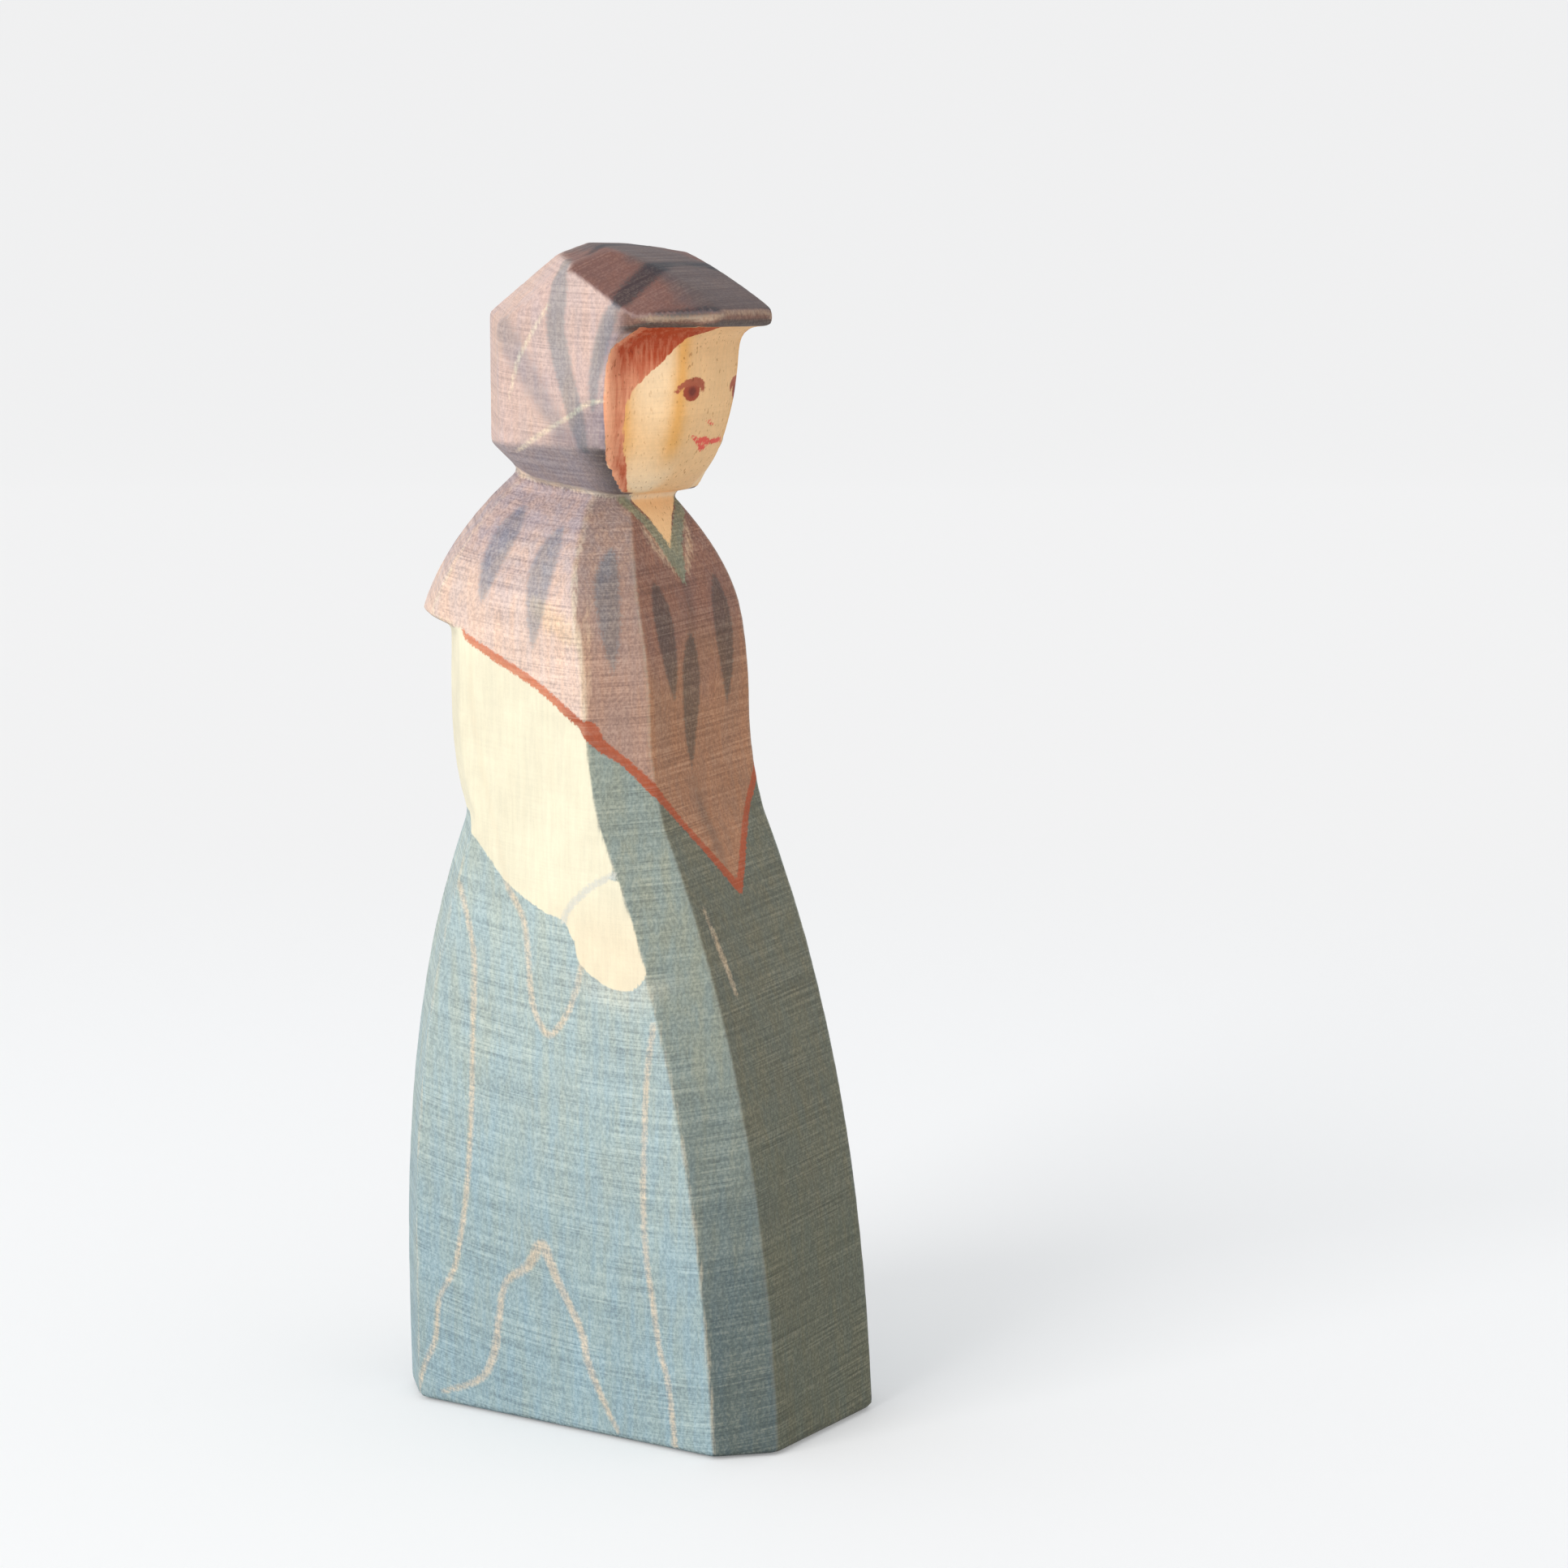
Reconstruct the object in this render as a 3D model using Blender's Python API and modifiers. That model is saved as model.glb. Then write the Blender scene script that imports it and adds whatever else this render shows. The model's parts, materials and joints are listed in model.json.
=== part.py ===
"""Carved wooden figure of a standing woman in a headscarf, a shawl and a long skirt.

One block of pale wood. Its side view is sawn from a flat board, its long corners are cut off at
forty-five degrees, and the head, the face and the brim of the scarf are cut out with a knife.
Units are metres. +Z is up, the figure looks along -Y and its own right side is at -X. The origin
is the middle of the footprint, on the surface that the figure stands on.
"""
import math

import bmesh
import bpy
from mathutils import Vector

# Board and long corners
BOARD_THICKNESS = 0.0276
CORNER_CUT = 0.0047
FOOT_ROUNDING = 0.0005

# Skirt, from the floor to the waist
SKIRT_HEIGHT = 0.0622
FOOT_FRONT = 0.0233
FOOT_BACK = 0.0232
WAIST_FRONT = 0.0098
WAIST_BACK = 0.0149
SKIRT_FRONT_LEAN_LOW = 0.05
SKIRT_FRONT_LEAN_HIGH = 0.46
SKIRT_BACK_LEAN_LOW = 0.03
SKIRT_BACK_LEAN_HIGH = -0.43

# Arms and bust, from the waist to the hem of the shawl
SLEEVE_HEIGHT = 0.0190
SLEEVE_BACK = 0.0167
SLEEVE_LEAN = 0.42
BUST_RISE = 0.0110
BUST_FRONT = 0.0081
BUST_LEAN = 0.30

# Shawl, from its hem to the groove round the neck
HEM_OVERHANG = 0.0038
HEM_RAMP = 0.0014
HEM_EDGE = 0.0008
SHAWL_HEIGHT = 0.0132
HEM_LEAN = -0.42
SHAWL_BACK_LEAN = -0.95
SHAWL_FRONT_LEAN = 0.62
NECK_TILT = 0.0026
NECK_HALF_WIDTH = 0.0064
NECK_FRONT = 0.0022
NECK_BACK = 0.0119
NECK_CORNER_CUT = 0.0026
SHOULDER_FALL = -0.95
NECK_STUB = 0.0035
GROOVE_SEAT = 0.0004

# Head in its scarf, from the groove up
HEAD_HEIGHT = 0.0256
HEAD_WIDTH = 0.0220
HEAD_BACK = 0.0135
HEAD_CORNER_CUT = 0.0047
NAPE_RISE = 0.0028
CROWN_BACK = 0.0039
CROWN_SLOPE_RISE = 0.0070
SCARF_EDGE = 0.0043
SCARF_EDGE_LOW = 0.0033
SCARF_EDGE_BEND = 0.0077
SLOPE_CORNER_FORWARD = 0.0006
SLOPE_CORNER_DROP = 0.0010

# Brim of the scarf over the forehead
BRIM_REACH = 0.0137
BRIM_HALF_WIDTH = 0.0049
BRIM_DROP = 0.0067
BRIM_THICKNESS = 0.0018
BRIM_SLOPE = 0.72
CROWN_SLOPE = 0.05
BRIM_HOLLOW = 0.0030
BRIM_CORNER_DROP = 0.0006
KNIFE_STEP = 0.0004

# Facets whittled on the crown, as heights below the top and depths along it
CROWN_FACET_BACK = 0.0005
CROWN_FACET_BACK_DROP = 0.0025
CROWN_FACET_TOP_WIDTH = 0.0066
CROWN_FACET_TOP_FORWARD = 0.0021
CROWN_FACET_TOP_DROP = 0.00085
CROWN_RIDGE_WIDTH = 0.0025

# Face, set back inside the scarf
FACE_FRONT = 0.0099
FACE_BOW = 0.0006
FACE_ROUNDNESS = 2.5
FACE_HALF_WIDTH = 0.0051
CHIN_HALF_WIDTH = 0.0036
CHIN_LIFT = 0.0004
CHEEK_HALF_WIDTH = 0.0092
JAW_HALF_WIDTH = 0.0062
CHEEK_RISE = 0.0111
JAW_RISE = 0.0055
FACE_ROOT = 0.0030

# Painted border of the shawl: where it crosses the board's flat side and where it ends in front
BORDER_SIDE_DROP = 0.0087
BORDER_SIDE_DEPTH = -0.0032
BORDER_POINT_DROP = 0.0260
CUFF_DROP = 0.0105
CUFF_DEPTH = -0.0010
ELBOW_DROP = 0.0020

# Sections along each zone
SKIRT_STEPS = 14
SLEEVE_STEPS = 8
SHAWL_STEPS = 10
FACE_STEPS = 14
FACE_CROWDING = 1.6
BOW_STEPS = 3
CROWN_STEPS = 9
HOLLOW_STEPS = 4

# Levels that follow from the sizes above
HALF_BOARD = BOARD_THICKNESS / 2
WAIST = SKIRT_HEIGHT
BUST = WAIST + BUST_RISE
HEM = WAIST + SLEEVE_HEIGHT
NECK = HEM + SHAWL_HEIGHT
NAPE = NECK + NECK_TILT
TOP = NECK + HEAD_HEIGHT
BRIM_TOP = TOP - BRIM_DROP
BRIM_LOW = BRIM_TOP - BRIM_THICKNESS
JAW = NAPE + NAPE_RISE
HALF_HEAD = HEAD_WIDTH / 2
FLAT_SIDE_TOLERANCE = 0.0002
MERGE = 0.00001
CORNER_SHARE = 0.45

STAINS = {
    "skirt_blue": ((0.262, 0.402, 0.434), 0.62),
    "sleeve_cream": ((0.905, 0.790, 0.560), 0.60),
    "shawl_lilac": ((0.330, 0.232, 0.222), 0.62),
    "skin_wood": ((0.880, 0.640, 0.390), 0.58),
}


def clear_scene():
    for old in list(bpy.data.objects):
        bpy.data.objects.remove(old, do_unlink=True)


def make_collection(name):
    made = bpy.data.collections.new(name)
    bpy.context.scene.collection.children.link(made)
    return made


def make_stain(name):
    colour, roughness = STAINS[name]
    stain = bpy.data.materials.new(name)
    stain.use_nodes = True
    shader = stain.node_tree.nodes["Principled BSDF"]
    shader.inputs["Base Color"].default_value = (*colour, 1.0)
    shader.inputs["Roughness"].default_value = roughness
    shader.inputs["Metallic"].default_value = 0.0
    return stain


def lerp(a, b, t):
    return a + (b - a) * t


def curve(t, rise, start, start_lean, end, end_lean):
    """Depth at share t of a zone of height rise, between two depths with given leans."""
    low = 2 * t**3 - 3 * t**2 + 1
    low_pull = t**3 - 2 * t**2 + t
    high_pull = t**3 - t**2
    return start * low + end * (1 - low) + rise * (start_lean * low_pull + end_lean * high_pull)


def eight_corners(front, back, half, corner, front_height, back_height):
    """One section: a rectangle with its four corners cut, tilted from front to back."""
    corner = min(corner, half * 2 * CORNER_SHARE, (back - front) * CORNER_SHARE)
    plan = [
        (-half, back - corner), (-half, front + corner),
        (-half + corner, front), (half - corner, front),
        (half, front + corner), (half, back - corner),
        (half - corner, back), (-half + corner, back),
    ]
    section = []
    for x, y in plan:
        share = (y - front) / (back - front)
        section.append(Vector((x, y, lerp(front_height, back_height, share))))
    return section


def skirt_front(height):
    return curve(height / SKIRT_HEIGHT, SKIRT_HEIGHT, -FOOT_FRONT, SKIRT_FRONT_LEAN_LOW,
                 -WAIST_FRONT, SKIRT_FRONT_LEAN_HIGH)


def skirt_back(height):
    return curve(height / SKIRT_HEIGHT, SKIRT_HEIGHT, FOOT_BACK, SKIRT_BACK_LEAN_LOW,
                 WAIST_BACK, SKIRT_BACK_LEAN_HIGH)


def skirt_sections():
    sections = []
    for step in range(SKIRT_STEPS):
        height = WAIST * step / SKIRT_STEPS
        sections.append(eight_corners(skirt_front(height), skirt_back(height), HALF_BOARD,
                                      CORNER_CUT, height, height))
    return sections


def bust_line(height):
    """Front of the figure between the waist and the groove under the chin."""
    if height < BUST:
        t = (height - WAIST) / BUST_RISE
        return curve(t, BUST_RISE, -WAIST_FRONT, BUST_LEAN, -BUST_FRONT, 0.0)
    rise = NECK - BUST
    t = (height - BUST) / rise
    return curve(t, rise, -BUST_FRONT, 0.0, -NECK_FRONT, SHAWL_FRONT_LEAN)


def sleeve_sections():
    sections = []
    for step in range(SLEEVE_STEPS + 1):
        t = step / SLEEVE_STEPS
        height = lerp(WAIST, HEM, t)
        back = curve(t, SLEEVE_HEIGHT, WAIST_BACK, SLEEVE_LEAN, SLEEVE_BACK, 0.0)
        sections.append(eight_corners(bust_line(height), back, HALF_BOARD, CORNER_CUT,
                                      height, height))
    return sections


def shawl_sections():
    """The hem steps out past the sleeves at the back, then the shawl closes in to the neck."""
    sections = []
    hem_back = SLEEVE_BACK + HEM_OVERHANG
    low = HEM + HEM_RAMP
    rise = NAPE - low
    for step in range(SHAWL_STEPS + 1):
        t = step / SHAWL_STEPS
        front_height = lerp(HEM + HEM_EDGE, NECK, t)
        back_height = lerp(low, NAPE, t)
        back = curve(t, rise, hem_back, HEM_LEAN, NECK_BACK, SHAWL_BACK_LEAN)
        half = curve(t, rise, HALF_BOARD, 0.0, NECK_HALF_WIDTH, SHOULDER_FALL)
        corner = lerp(CORNER_CUT, NECK_CORNER_CUT, t * t)
        sections.append(eight_corners(bust_line(front_height), back, half, corner,
                                      front_height, back_height))
    sections.append(eight_corners(-NECK_FRONT, NECK_BACK, NECK_HALF_WIDTH, NECK_CORNER_CUT,
                                  NECK + NECK_STUB, NAPE + NECK_STUB))
    return sections


def face_sections():
    """The face and its jaw: rounded chin, bowed front, cheeks that run back into the scarf."""
    sections = []
    low = NECK + CHIN_LIFT
    rise = BRIM_TOP - low
    for step in range(FACE_STEPS + 1):
        t = (step / FACE_STEPS) ** FACE_CROWDING
        height = low + rise * t
        chin = (1 - (1 - t) ** FACE_ROUNDNESS) ** (1 / FACE_ROUNDNESS)
        front = -lerp(NECK_FRONT, FACE_FRONT, chin)
        grow = min(1.0, rise * t / CHEEK_RISE)
        widen = min(1.0, rise * t / JAW_RISE)
        half = lerp(CHIN_HALF_WIDTH, FACE_HALF_WIDTH, grow)
        cheek = lerp(JAW_HALF_WIDTH, CHEEK_HALF_WIDTH, widen)
        edge = max(-lerp(SCARF_EDGE_LOW, SCARF_EDGE, grow) + GROOVE_SEAT, front + KNIFE_STEP)
        plan = [(-cheek, FACE_ROOT), (-cheek, edge)]
        for across in range(-BOW_STEPS, BOW_STEPS + 1):
            x = half * across / BOW_STEPS
            plan.append((x, front - chin * FACE_BOW * (1 - (x / half) ** 2)))
        plan += [(cheek, edge), (cheek, FACE_ROOT)]
        sections.append([Vector((x, y, height)) for x, y in plan])
    return sections


def loft(name, sections):
    """Skin a stack of matching sections and close its two ends."""
    bm = bmesh.new()
    rings = [[bm.verts.new(point) for point in section] for section in sections]
    count = len(rings[0])
    for lower, upper in zip(rings, rings[1:]):
        for i in range(count):
            j = (i + 1) % count
            bm.faces.new((lower[i], lower[j], upper[j], upper[i]))
    bm.faces.new(rings[0])
    bm.faces.new(rings[-1])
    bmesh.ops.recalc_face_normals(bm, faces=bm.faces)
    return finish_mesh(bm, name)


def finish_mesh(bm, name):
    mesh = bpy.data.meshes.new(name)
    bm.to_mesh(mesh)
    bm.free()
    return bpy.data.objects.new(name, mesh)


def scarf_profile():
    """Side view of the scarf: open front edge, hollow under the brim, brim, crown and nape."""
    points = [(-SCARF_EDGE_LOW, NECK + GROOVE_SEAT),
              (-SCARF_EDGE, NECK + SCARF_EDGE_BEND)]
    for step in range(HOLLOW_STEPS + 1):
        turn = math.radians(90 * step / HOLLOW_STEPS)
        points.append((-SCARF_EDGE - KNIFE_STEP - BRIM_HOLLOW * (1 - math.cos(turn)),
                       BRIM_LOW - BRIM_HOLLOW * (1 - math.sin(turn))))
    points.append((-BRIM_REACH + KNIFE_STEP, BRIM_LOW))
    points.append((-BRIM_REACH, BRIM_LOW + KNIFE_STEP))
    length = CROWN_BACK + BRIM_REACH
    for step in range(CROWN_STEPS + 1):
        t = step / CROWN_STEPS
        points.append((lerp(-BRIM_REACH, CROWN_BACK, t),
                       curve(t, length, BRIM_TOP, BRIM_SLOPE, TOP, CROWN_SLOPE)))
    points.append((HEAD_BACK, TOP - CROWN_SLOPE_RISE))
    points.append((HEAD_BACK, JAW))
    points.append((NECK_BACK - GROOVE_SEAT, NAPE - GROOVE_SEAT))
    return points


def whittle(bm, point, normal):
    """Cut a flat facet on both sides of the head and close the wood under the knife."""
    for side in (1, -1):
        spot = Vector((point[0] * side, point[1], point[2]))
        facing = Vector((normal[0] * side, normal[1], normal[2]))
        cut = bmesh.ops.bisect_plane(bm, geom=bm.verts[:] + bm.edges[:] + bm.faces[:],
                                     dist=1e-7, plane_co=spot, plane_no=facing,
                                     clear_outer=True)
        edges = [item for item in cut["geom_cut"] if isinstance(item, bmesh.types.BMEdge)]
        if edges:
            bmesh.ops.holes_fill(bm, edges=edges, sides=0)


def plane_through(a, b, c, outward):
    """A point and a normal of the plane through three points, facing the way of outward."""
    a, b, c = Vector(a), Vector(b), Vector(c)
    normal = (b - a).cross(c - a).normalized()
    if normal.dot(Vector(outward)) < 0:
        normal.negate()
    return a, normal


def crown_planes():
    side = -HALF_HEAD
    back_corner = (side, -CROWN_FACET_BACK, TOP - CROWN_FACET_BACK_DROP)
    temple = (-CROWN_FACET_TOP_WIDTH, -CROWN_FACET_TOP_FORWARD, TOP - CROWN_FACET_TOP_DROP)
    brim_side = (side, -BRIM_REACH + HALF_HEAD - BRIM_HALF_WIDTH, BRIM_TOP - BRIM_CORNER_DROP)
    brim_corner = (-BRIM_HALF_WIDTH, -BRIM_REACH, BRIM_TOP)
    ridge = (-CROWN_RIDGE_WIDTH, CROWN_BACK, TOP)
    slope_foot = TOP - CROWN_SLOPE_RISE
    slope_corner = (side, HEAD_BACK - HEAD_CORNER_CUT - SLOPE_CORNER_FORWARD,
                    slope_foot - SLOPE_CORNER_DROP)
    slope_edge = (side + HEAD_CORNER_CUT, HEAD_BACK, slope_foot)
    return [
        plane_through(back_corner, temple, ridge, (-1, 0, 1)),
        plane_through(brim_side, brim_corner, temple, (-1, -1, 1)),
        plane_through(slope_corner, back_corner, slope_edge, (-1, 1, 1)),
    ]


def nape_planes():
    """Facets under the scarf that draw its sides and its back corners in to the neck."""
    side = -HALF_HEAD
    groove_side = (-NECK_HALF_WIDTH, (NECK_BACK - NECK_FRONT) / 2, NECK)
    corner_inset = NECK_CORNER_CUT / 2
    groove_corner = (-NECK_HALF_WIDTH + corner_inset, NECK_BACK - corner_inset, NAPE)
    jaw_front = (side, 0.0, JAW)
    jaw_corner = (side, HEAD_BACK - HEAD_CORNER_CUT, JAW)
    back_corner = (side + HEAD_CORNER_CUT, HEAD_BACK, JAW)
    return [
        plane_through(jaw_front, jaw_corner, groove_side, (-1, 0, -1)),
        plane_through(jaw_corner, back_corner, groove_corner, (-1, 1, -1)),
    ]


def scarf_block():
    bm = bmesh.new()
    outline = [bm.verts.new((-HALF_HEAD, y, z)) for y, z in scarf_profile()]
    side = bm.faces.new(outline)
    grown = bmesh.ops.extrude_face_region(bm, geom=[side])
    moved = [item for item in grown["geom"] if isinstance(item, bmesh.types.BMVert)]
    bmesh.ops.translate(bm, verts=moved, vec=(HEAD_WIDTH, 0, 0))
    bmesh.ops.recalc_face_normals(bm, faces=bm.faces)
    whittle(bm, (-HALF_HEAD, HEAD_BACK - HEAD_CORNER_CUT, 0), (-1, 1, 0))
    whittle(bm, (-BRIM_HALF_WIDTH, -BRIM_REACH, 0), (-1, -1, 0))
    for point, normal in nape_planes() + crown_planes():
        whittle(bm, point, normal)
    bmesh.ops.recalc_face_normals(bm, faces=bm.faces)
    return finish_mesh(bm, "scarf_block")


def join_solids(base, extras, guides):
    """Melt the head into the body: the figure is one piece of wood."""
    for extra in extras:
        guides.objects.link(extra)
        extra.hide_render = True
        extra.display_type = "WIRE"
        union = base.modifiers.new(extra.name, "BOOLEAN")
        union.operation = "UNION"
        union.solver = "EXACT"
        union.object = extra
    both_sides = base.modifiers.new("both_sides", "MIRROR")
    both_sides.use_axis[0] = True
    both_sides.use_bisect_axis[0] = True
    both_sides.bisect_threshold = MERGE
    both_sides.merge_threshold = MERGE
    bpy.context.view_layer.update()
    evaluated = base.evaluated_get(bpy.context.evaluated_depsgraph_get())
    joined = bpy.data.meshes.new_from_object(evaluated)
    base.modifiers.clear()
    base.data = joined
    for extra in extras:
        bpy.data.objects.remove(extra, do_unlink=True)


def tidy_joins(figure):
    """Close up the slivers that the joining leaves and set the figure over the origin."""
    bm = bmesh.new()
    bm.from_mesh(figure.data)
    bmesh.ops.remove_doubles(bm, verts=bm.verts, dist=MERGE)
    bmesh.ops.dissolve_degenerate(bm, dist=MERGE, edges=bm.edges)
    depths = [vert.co.y for vert in bm.verts]
    middle = (min(depths) + max(depths)) / 2
    bmesh.ops.translate(bm, verts=bm.verts, vec=(0, -middle, 0))
    bm.to_mesh(figure.data)
    bm.free()


def border_plane(side):
    """The painted border falls from the hem at the back to a point in the middle in front."""
    back = (HALF_BOARD * side, SLEEVE_BACK - CORNER_CUT, HEM)
    corner = (HALF_BOARD * side, BORDER_SIDE_DEPTH, HEM - BORDER_SIDE_DROP)
    point_height = HEM - BORDER_POINT_DROP
    point = (0.0, skirt_front(point_height), point_height)
    return plane_through(back, corner, point, (0, 0, 1))


def sleeve_plane():
    """Lower edge of the painted sleeve on the flat sides, from the elbow to the cuff."""
    elbow = (0.0, WAIST_BACK - CORNER_CUT, WAIST - ELBOW_DROP)
    cuff = (0.0, CUFF_DEPTH, WAIST - CUFF_DROP)
    return plane_through(elbow, cuff, (1.0, CUFF_DEPTH, WAIST - CUFF_DROP), (0, 0, 1))


def is_over(centre, plane):
    spot, normal = plane
    return (centre - spot).dot(normal) > 0


def stain_of(centre, planes):
    over_border = is_over(centre, planes[0 if centre.x > 0 else 1])
    in_scarf = centre.y > -SCARF_EDGE_LOW or abs(centre.x) > CHEEK_HALF_WIDTH
    if NECK < centre.z < BRIM_LOW - FLAT_SIDE_TOLERANCE and not in_scarf:
        return "skin_wood"
    if over_border or centre.z > HEM + HEM_RAMP * 0.5:
        return "shawl_lilac"
    if abs(centre.x) > HALF_BOARD - FLAT_SIDE_TOLERANCE and is_over(centre, sleeve_plane()):
        return "sleeve_cream"
    return "skirt_blue"


def split_faces(bm, spot, normal, chosen):
    """Draw a straight line across the chosen faces without moving the surface."""
    geom = set()
    for face in bm.faces:
        if chosen(face):
            geom.add(face)
            geom.update(face.edges)
            geom.update(face.verts)
    bmesh.ops.bisect_plane(bm, geom=list(geom), dist=1e-7, plane_co=spot, plane_no=normal)


def stain_figure(figure):
    """Cut the faces along the painted border and give each zone its stain."""
    planes = [border_plane(1), border_plane(-1)]
    bm = bmesh.new()
    bm.from_mesh(figure.data)
    for side, (spot, normal) in zip((1, -1), planes):
        split_faces(bm, spot, normal, lambda face: face.calc_center_median().x * side > 0)
    spot, normal = sleeve_plane()
    split_faces(bm, spot, normal, lambda face: abs(face.normal.x) > 0.99)
    names = list(STAINS)
    for name in names:
        figure.data.materials.append(make_stain(name))
    for face in bm.faces:
        face.material_index = names.index(stain_of(face.calc_center_median(), planes))
    bm.to_mesh(figure.data)
    bm.free()


def soften_foot(figure):
    """A touch of sandpaper round the edge that the figure stands on."""
    bm = bmesh.new()
    bm.from_mesh(figure.data)
    foot = [edge for edge in bm.edges
            if max(v.co.z for v in edge.verts) < 1e-6 and len(edge.link_faces) == 2
            and edge.calc_face_angle() > 0.5]
    bmesh.ops.bevel(bm, geom=foot, offset=FOOT_ROUNDING, affect="EDGES", segments=2,
                    profile=0.5, material=-1)
    bm.to_mesh(figure.data)
    bm.free()


def build():
    clear_scene()
    parts = make_collection("wooden_figure")
    guides = make_collection("guides")
    figure = loft("carved_figure", skirt_sections() + sleeve_sections() + shawl_sections())
    parts.objects.link(figure)
    face = loft("face_block", face_sections())
    join_solids(figure, [scarf_block(), face], guides)
    soften_foot(figure)
    stain_figure(figure)
    tidy_joins(figure)


build()
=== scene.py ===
"""Looks of a carved wooden figure: sawn and stained wood, painted marks, floor, light and camera.

The figure is one block of pale wood. Its surface is the shape from the frame, made fine enough for
rounded edges and knife marks. The places of the painted marks are in millimetres in the figure's
own frame: +Z up, the figure looks along -Y, its own right side is at -X.
"""

import json
import math

import bmesh
import bpy
import numpy as np
from mathutils import Matrix, Vector, noise
from mathutils.bvhtree import BVHTree
from mathutils.kdtree import KDTree

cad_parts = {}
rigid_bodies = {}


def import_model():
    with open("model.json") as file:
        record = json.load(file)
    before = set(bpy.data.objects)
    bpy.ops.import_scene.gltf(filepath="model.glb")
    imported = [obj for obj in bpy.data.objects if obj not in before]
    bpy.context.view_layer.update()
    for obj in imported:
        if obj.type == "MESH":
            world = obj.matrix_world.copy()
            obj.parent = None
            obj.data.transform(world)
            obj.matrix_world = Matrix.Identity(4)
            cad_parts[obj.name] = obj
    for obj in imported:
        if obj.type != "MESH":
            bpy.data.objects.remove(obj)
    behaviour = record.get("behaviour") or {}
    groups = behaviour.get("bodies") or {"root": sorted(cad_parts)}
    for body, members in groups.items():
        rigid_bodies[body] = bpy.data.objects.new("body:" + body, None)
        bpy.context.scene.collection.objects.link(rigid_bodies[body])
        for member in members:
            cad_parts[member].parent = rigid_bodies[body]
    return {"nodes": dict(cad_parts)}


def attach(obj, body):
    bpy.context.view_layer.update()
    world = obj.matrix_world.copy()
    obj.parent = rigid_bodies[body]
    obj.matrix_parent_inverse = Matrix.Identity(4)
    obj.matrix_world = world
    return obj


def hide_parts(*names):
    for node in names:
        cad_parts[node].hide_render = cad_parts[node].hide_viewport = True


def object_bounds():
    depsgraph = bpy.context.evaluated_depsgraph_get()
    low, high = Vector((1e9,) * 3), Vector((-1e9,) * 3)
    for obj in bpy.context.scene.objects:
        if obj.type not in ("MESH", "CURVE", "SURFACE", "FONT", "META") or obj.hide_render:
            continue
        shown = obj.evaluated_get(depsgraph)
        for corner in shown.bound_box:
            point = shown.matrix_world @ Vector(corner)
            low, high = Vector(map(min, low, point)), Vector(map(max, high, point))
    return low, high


for old in list(bpy.data.objects):
    bpy.data.objects.remove(old, do_unlink=True)
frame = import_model()
cad_low, cad_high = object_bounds()

# Lengths are in millimetres, unless a comment says otherwise
MM = 0.001    # metres
MERGE = 0.02
FAR = 50.0

# Fineness of the surface
GRID = 0.425
SHARP_TURN = 24.0    # degrees
EDGE_SAMPLES = 0.2
EDGE_REACH = 5.0
DEPTH_LIMIT = 9.0
SIDE_TURN = 0.25    # share of a facet's turn to the front
NO_WEAR = 9.0

# Sanding and knife work: rounds and shares of smoothing, distances from an edge, sizes of marks
SMOOTH_ROUNDS = 4
FACE_SMOOTH_ROUNDS = 30
FAIR_ROUNDS = 8
SMOOTH_SHARE = 0.6
FAIR_SHARE = 0.6
LAST_SHARE = 0.5
EDGE_HOLD = 0.35
ROUNDING_NEAR = 0.30
ROUNDING_FAR = 0.75
HEAD_ROUNDING = 0.5
FAIR_FROM = (0.8, 1.6)
SWELL_DEPTH = 0.09
SWELL_SIZE = 9.0
NICK_DEPTH = 0.035
NICK_SIZE = 1.6
FOOT_ROUNDING = 0.9
FOOT_CALM = (0.3, 1.2)
FOOT_EDGE = 1.0

# Levels and limits of the figure
HALF_BOARD = 13.8
HALF_FOOT = 23.0
HEM = 81.2
NECK = 94.4
BRIM_LOW = 111.4
HALF_HEAD = 11.0
CHEEK_HALF_WIDTH = 9.25
SCARF_EDGE = -3.4
FACE_BACK = -4.5
BRIM_TIP = -13.0
BACK_CORNER = 11.6

# The head: where its edges get rounder, the face's soft turns lie, and its paint may be
HEAD_LEVELS = (BRIM_LOW - 2.0, BRIM_LOW)
FACE_LEVELS = (NECK + 0.3, BRIM_LOW + 0.2)
FACE_CHIN = (NECK + 0.6, NECK + 1.6)
FACE_DEPTHS = (FACE_BACK + 0.4, FACE_BACK - 0.6)
FACE_TIP = BRIM_TIP + 0.5
FACE_MARGIN = 0.6
PAINT_LEVELS = (NECK + 0.1, BRIM_LOW + 0.2)
PAINT_DEPTHS = (BRIM_TIP + 0.3, SCARF_EDGE + 0.25)

# Zones of the head and the shawl, by height, depth or how far a facet looks up or forward
HEAD_LOW = NECK + 3.5
CROWN_UP = (0.25, 0.5)
CROWN_FORWARD = (0.35, 0.05)
BRIM_FOOT = (BRIM_LOW - 0.9, BRIM_LOW - 0.2)
BRIM_HEAD = (BRIM_LOW + 2.1, BRIM_LOW + 1.7)
BRIM_DEPTHS = (-5.0, -7.0)
JAW_TOP = NECK + 6.0
JAW_UP = (-0.25, -0.5)
SHADE_REACH = (-1.8, 1.4)
SHADE_HALF_WIDTH = HALF_HEAD - 4.0
LEDGE_UP = (-0.4, -0.7)
LEDGE_BAND = 1.5
LEDGE_BACK = 9.0
GROOVE_RISE = ((-3.0, 0.1), (12.0, 2.7))
HEM_BEHIND = HEM + 0.25
BORDER_SLOPE = 0.85

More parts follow.
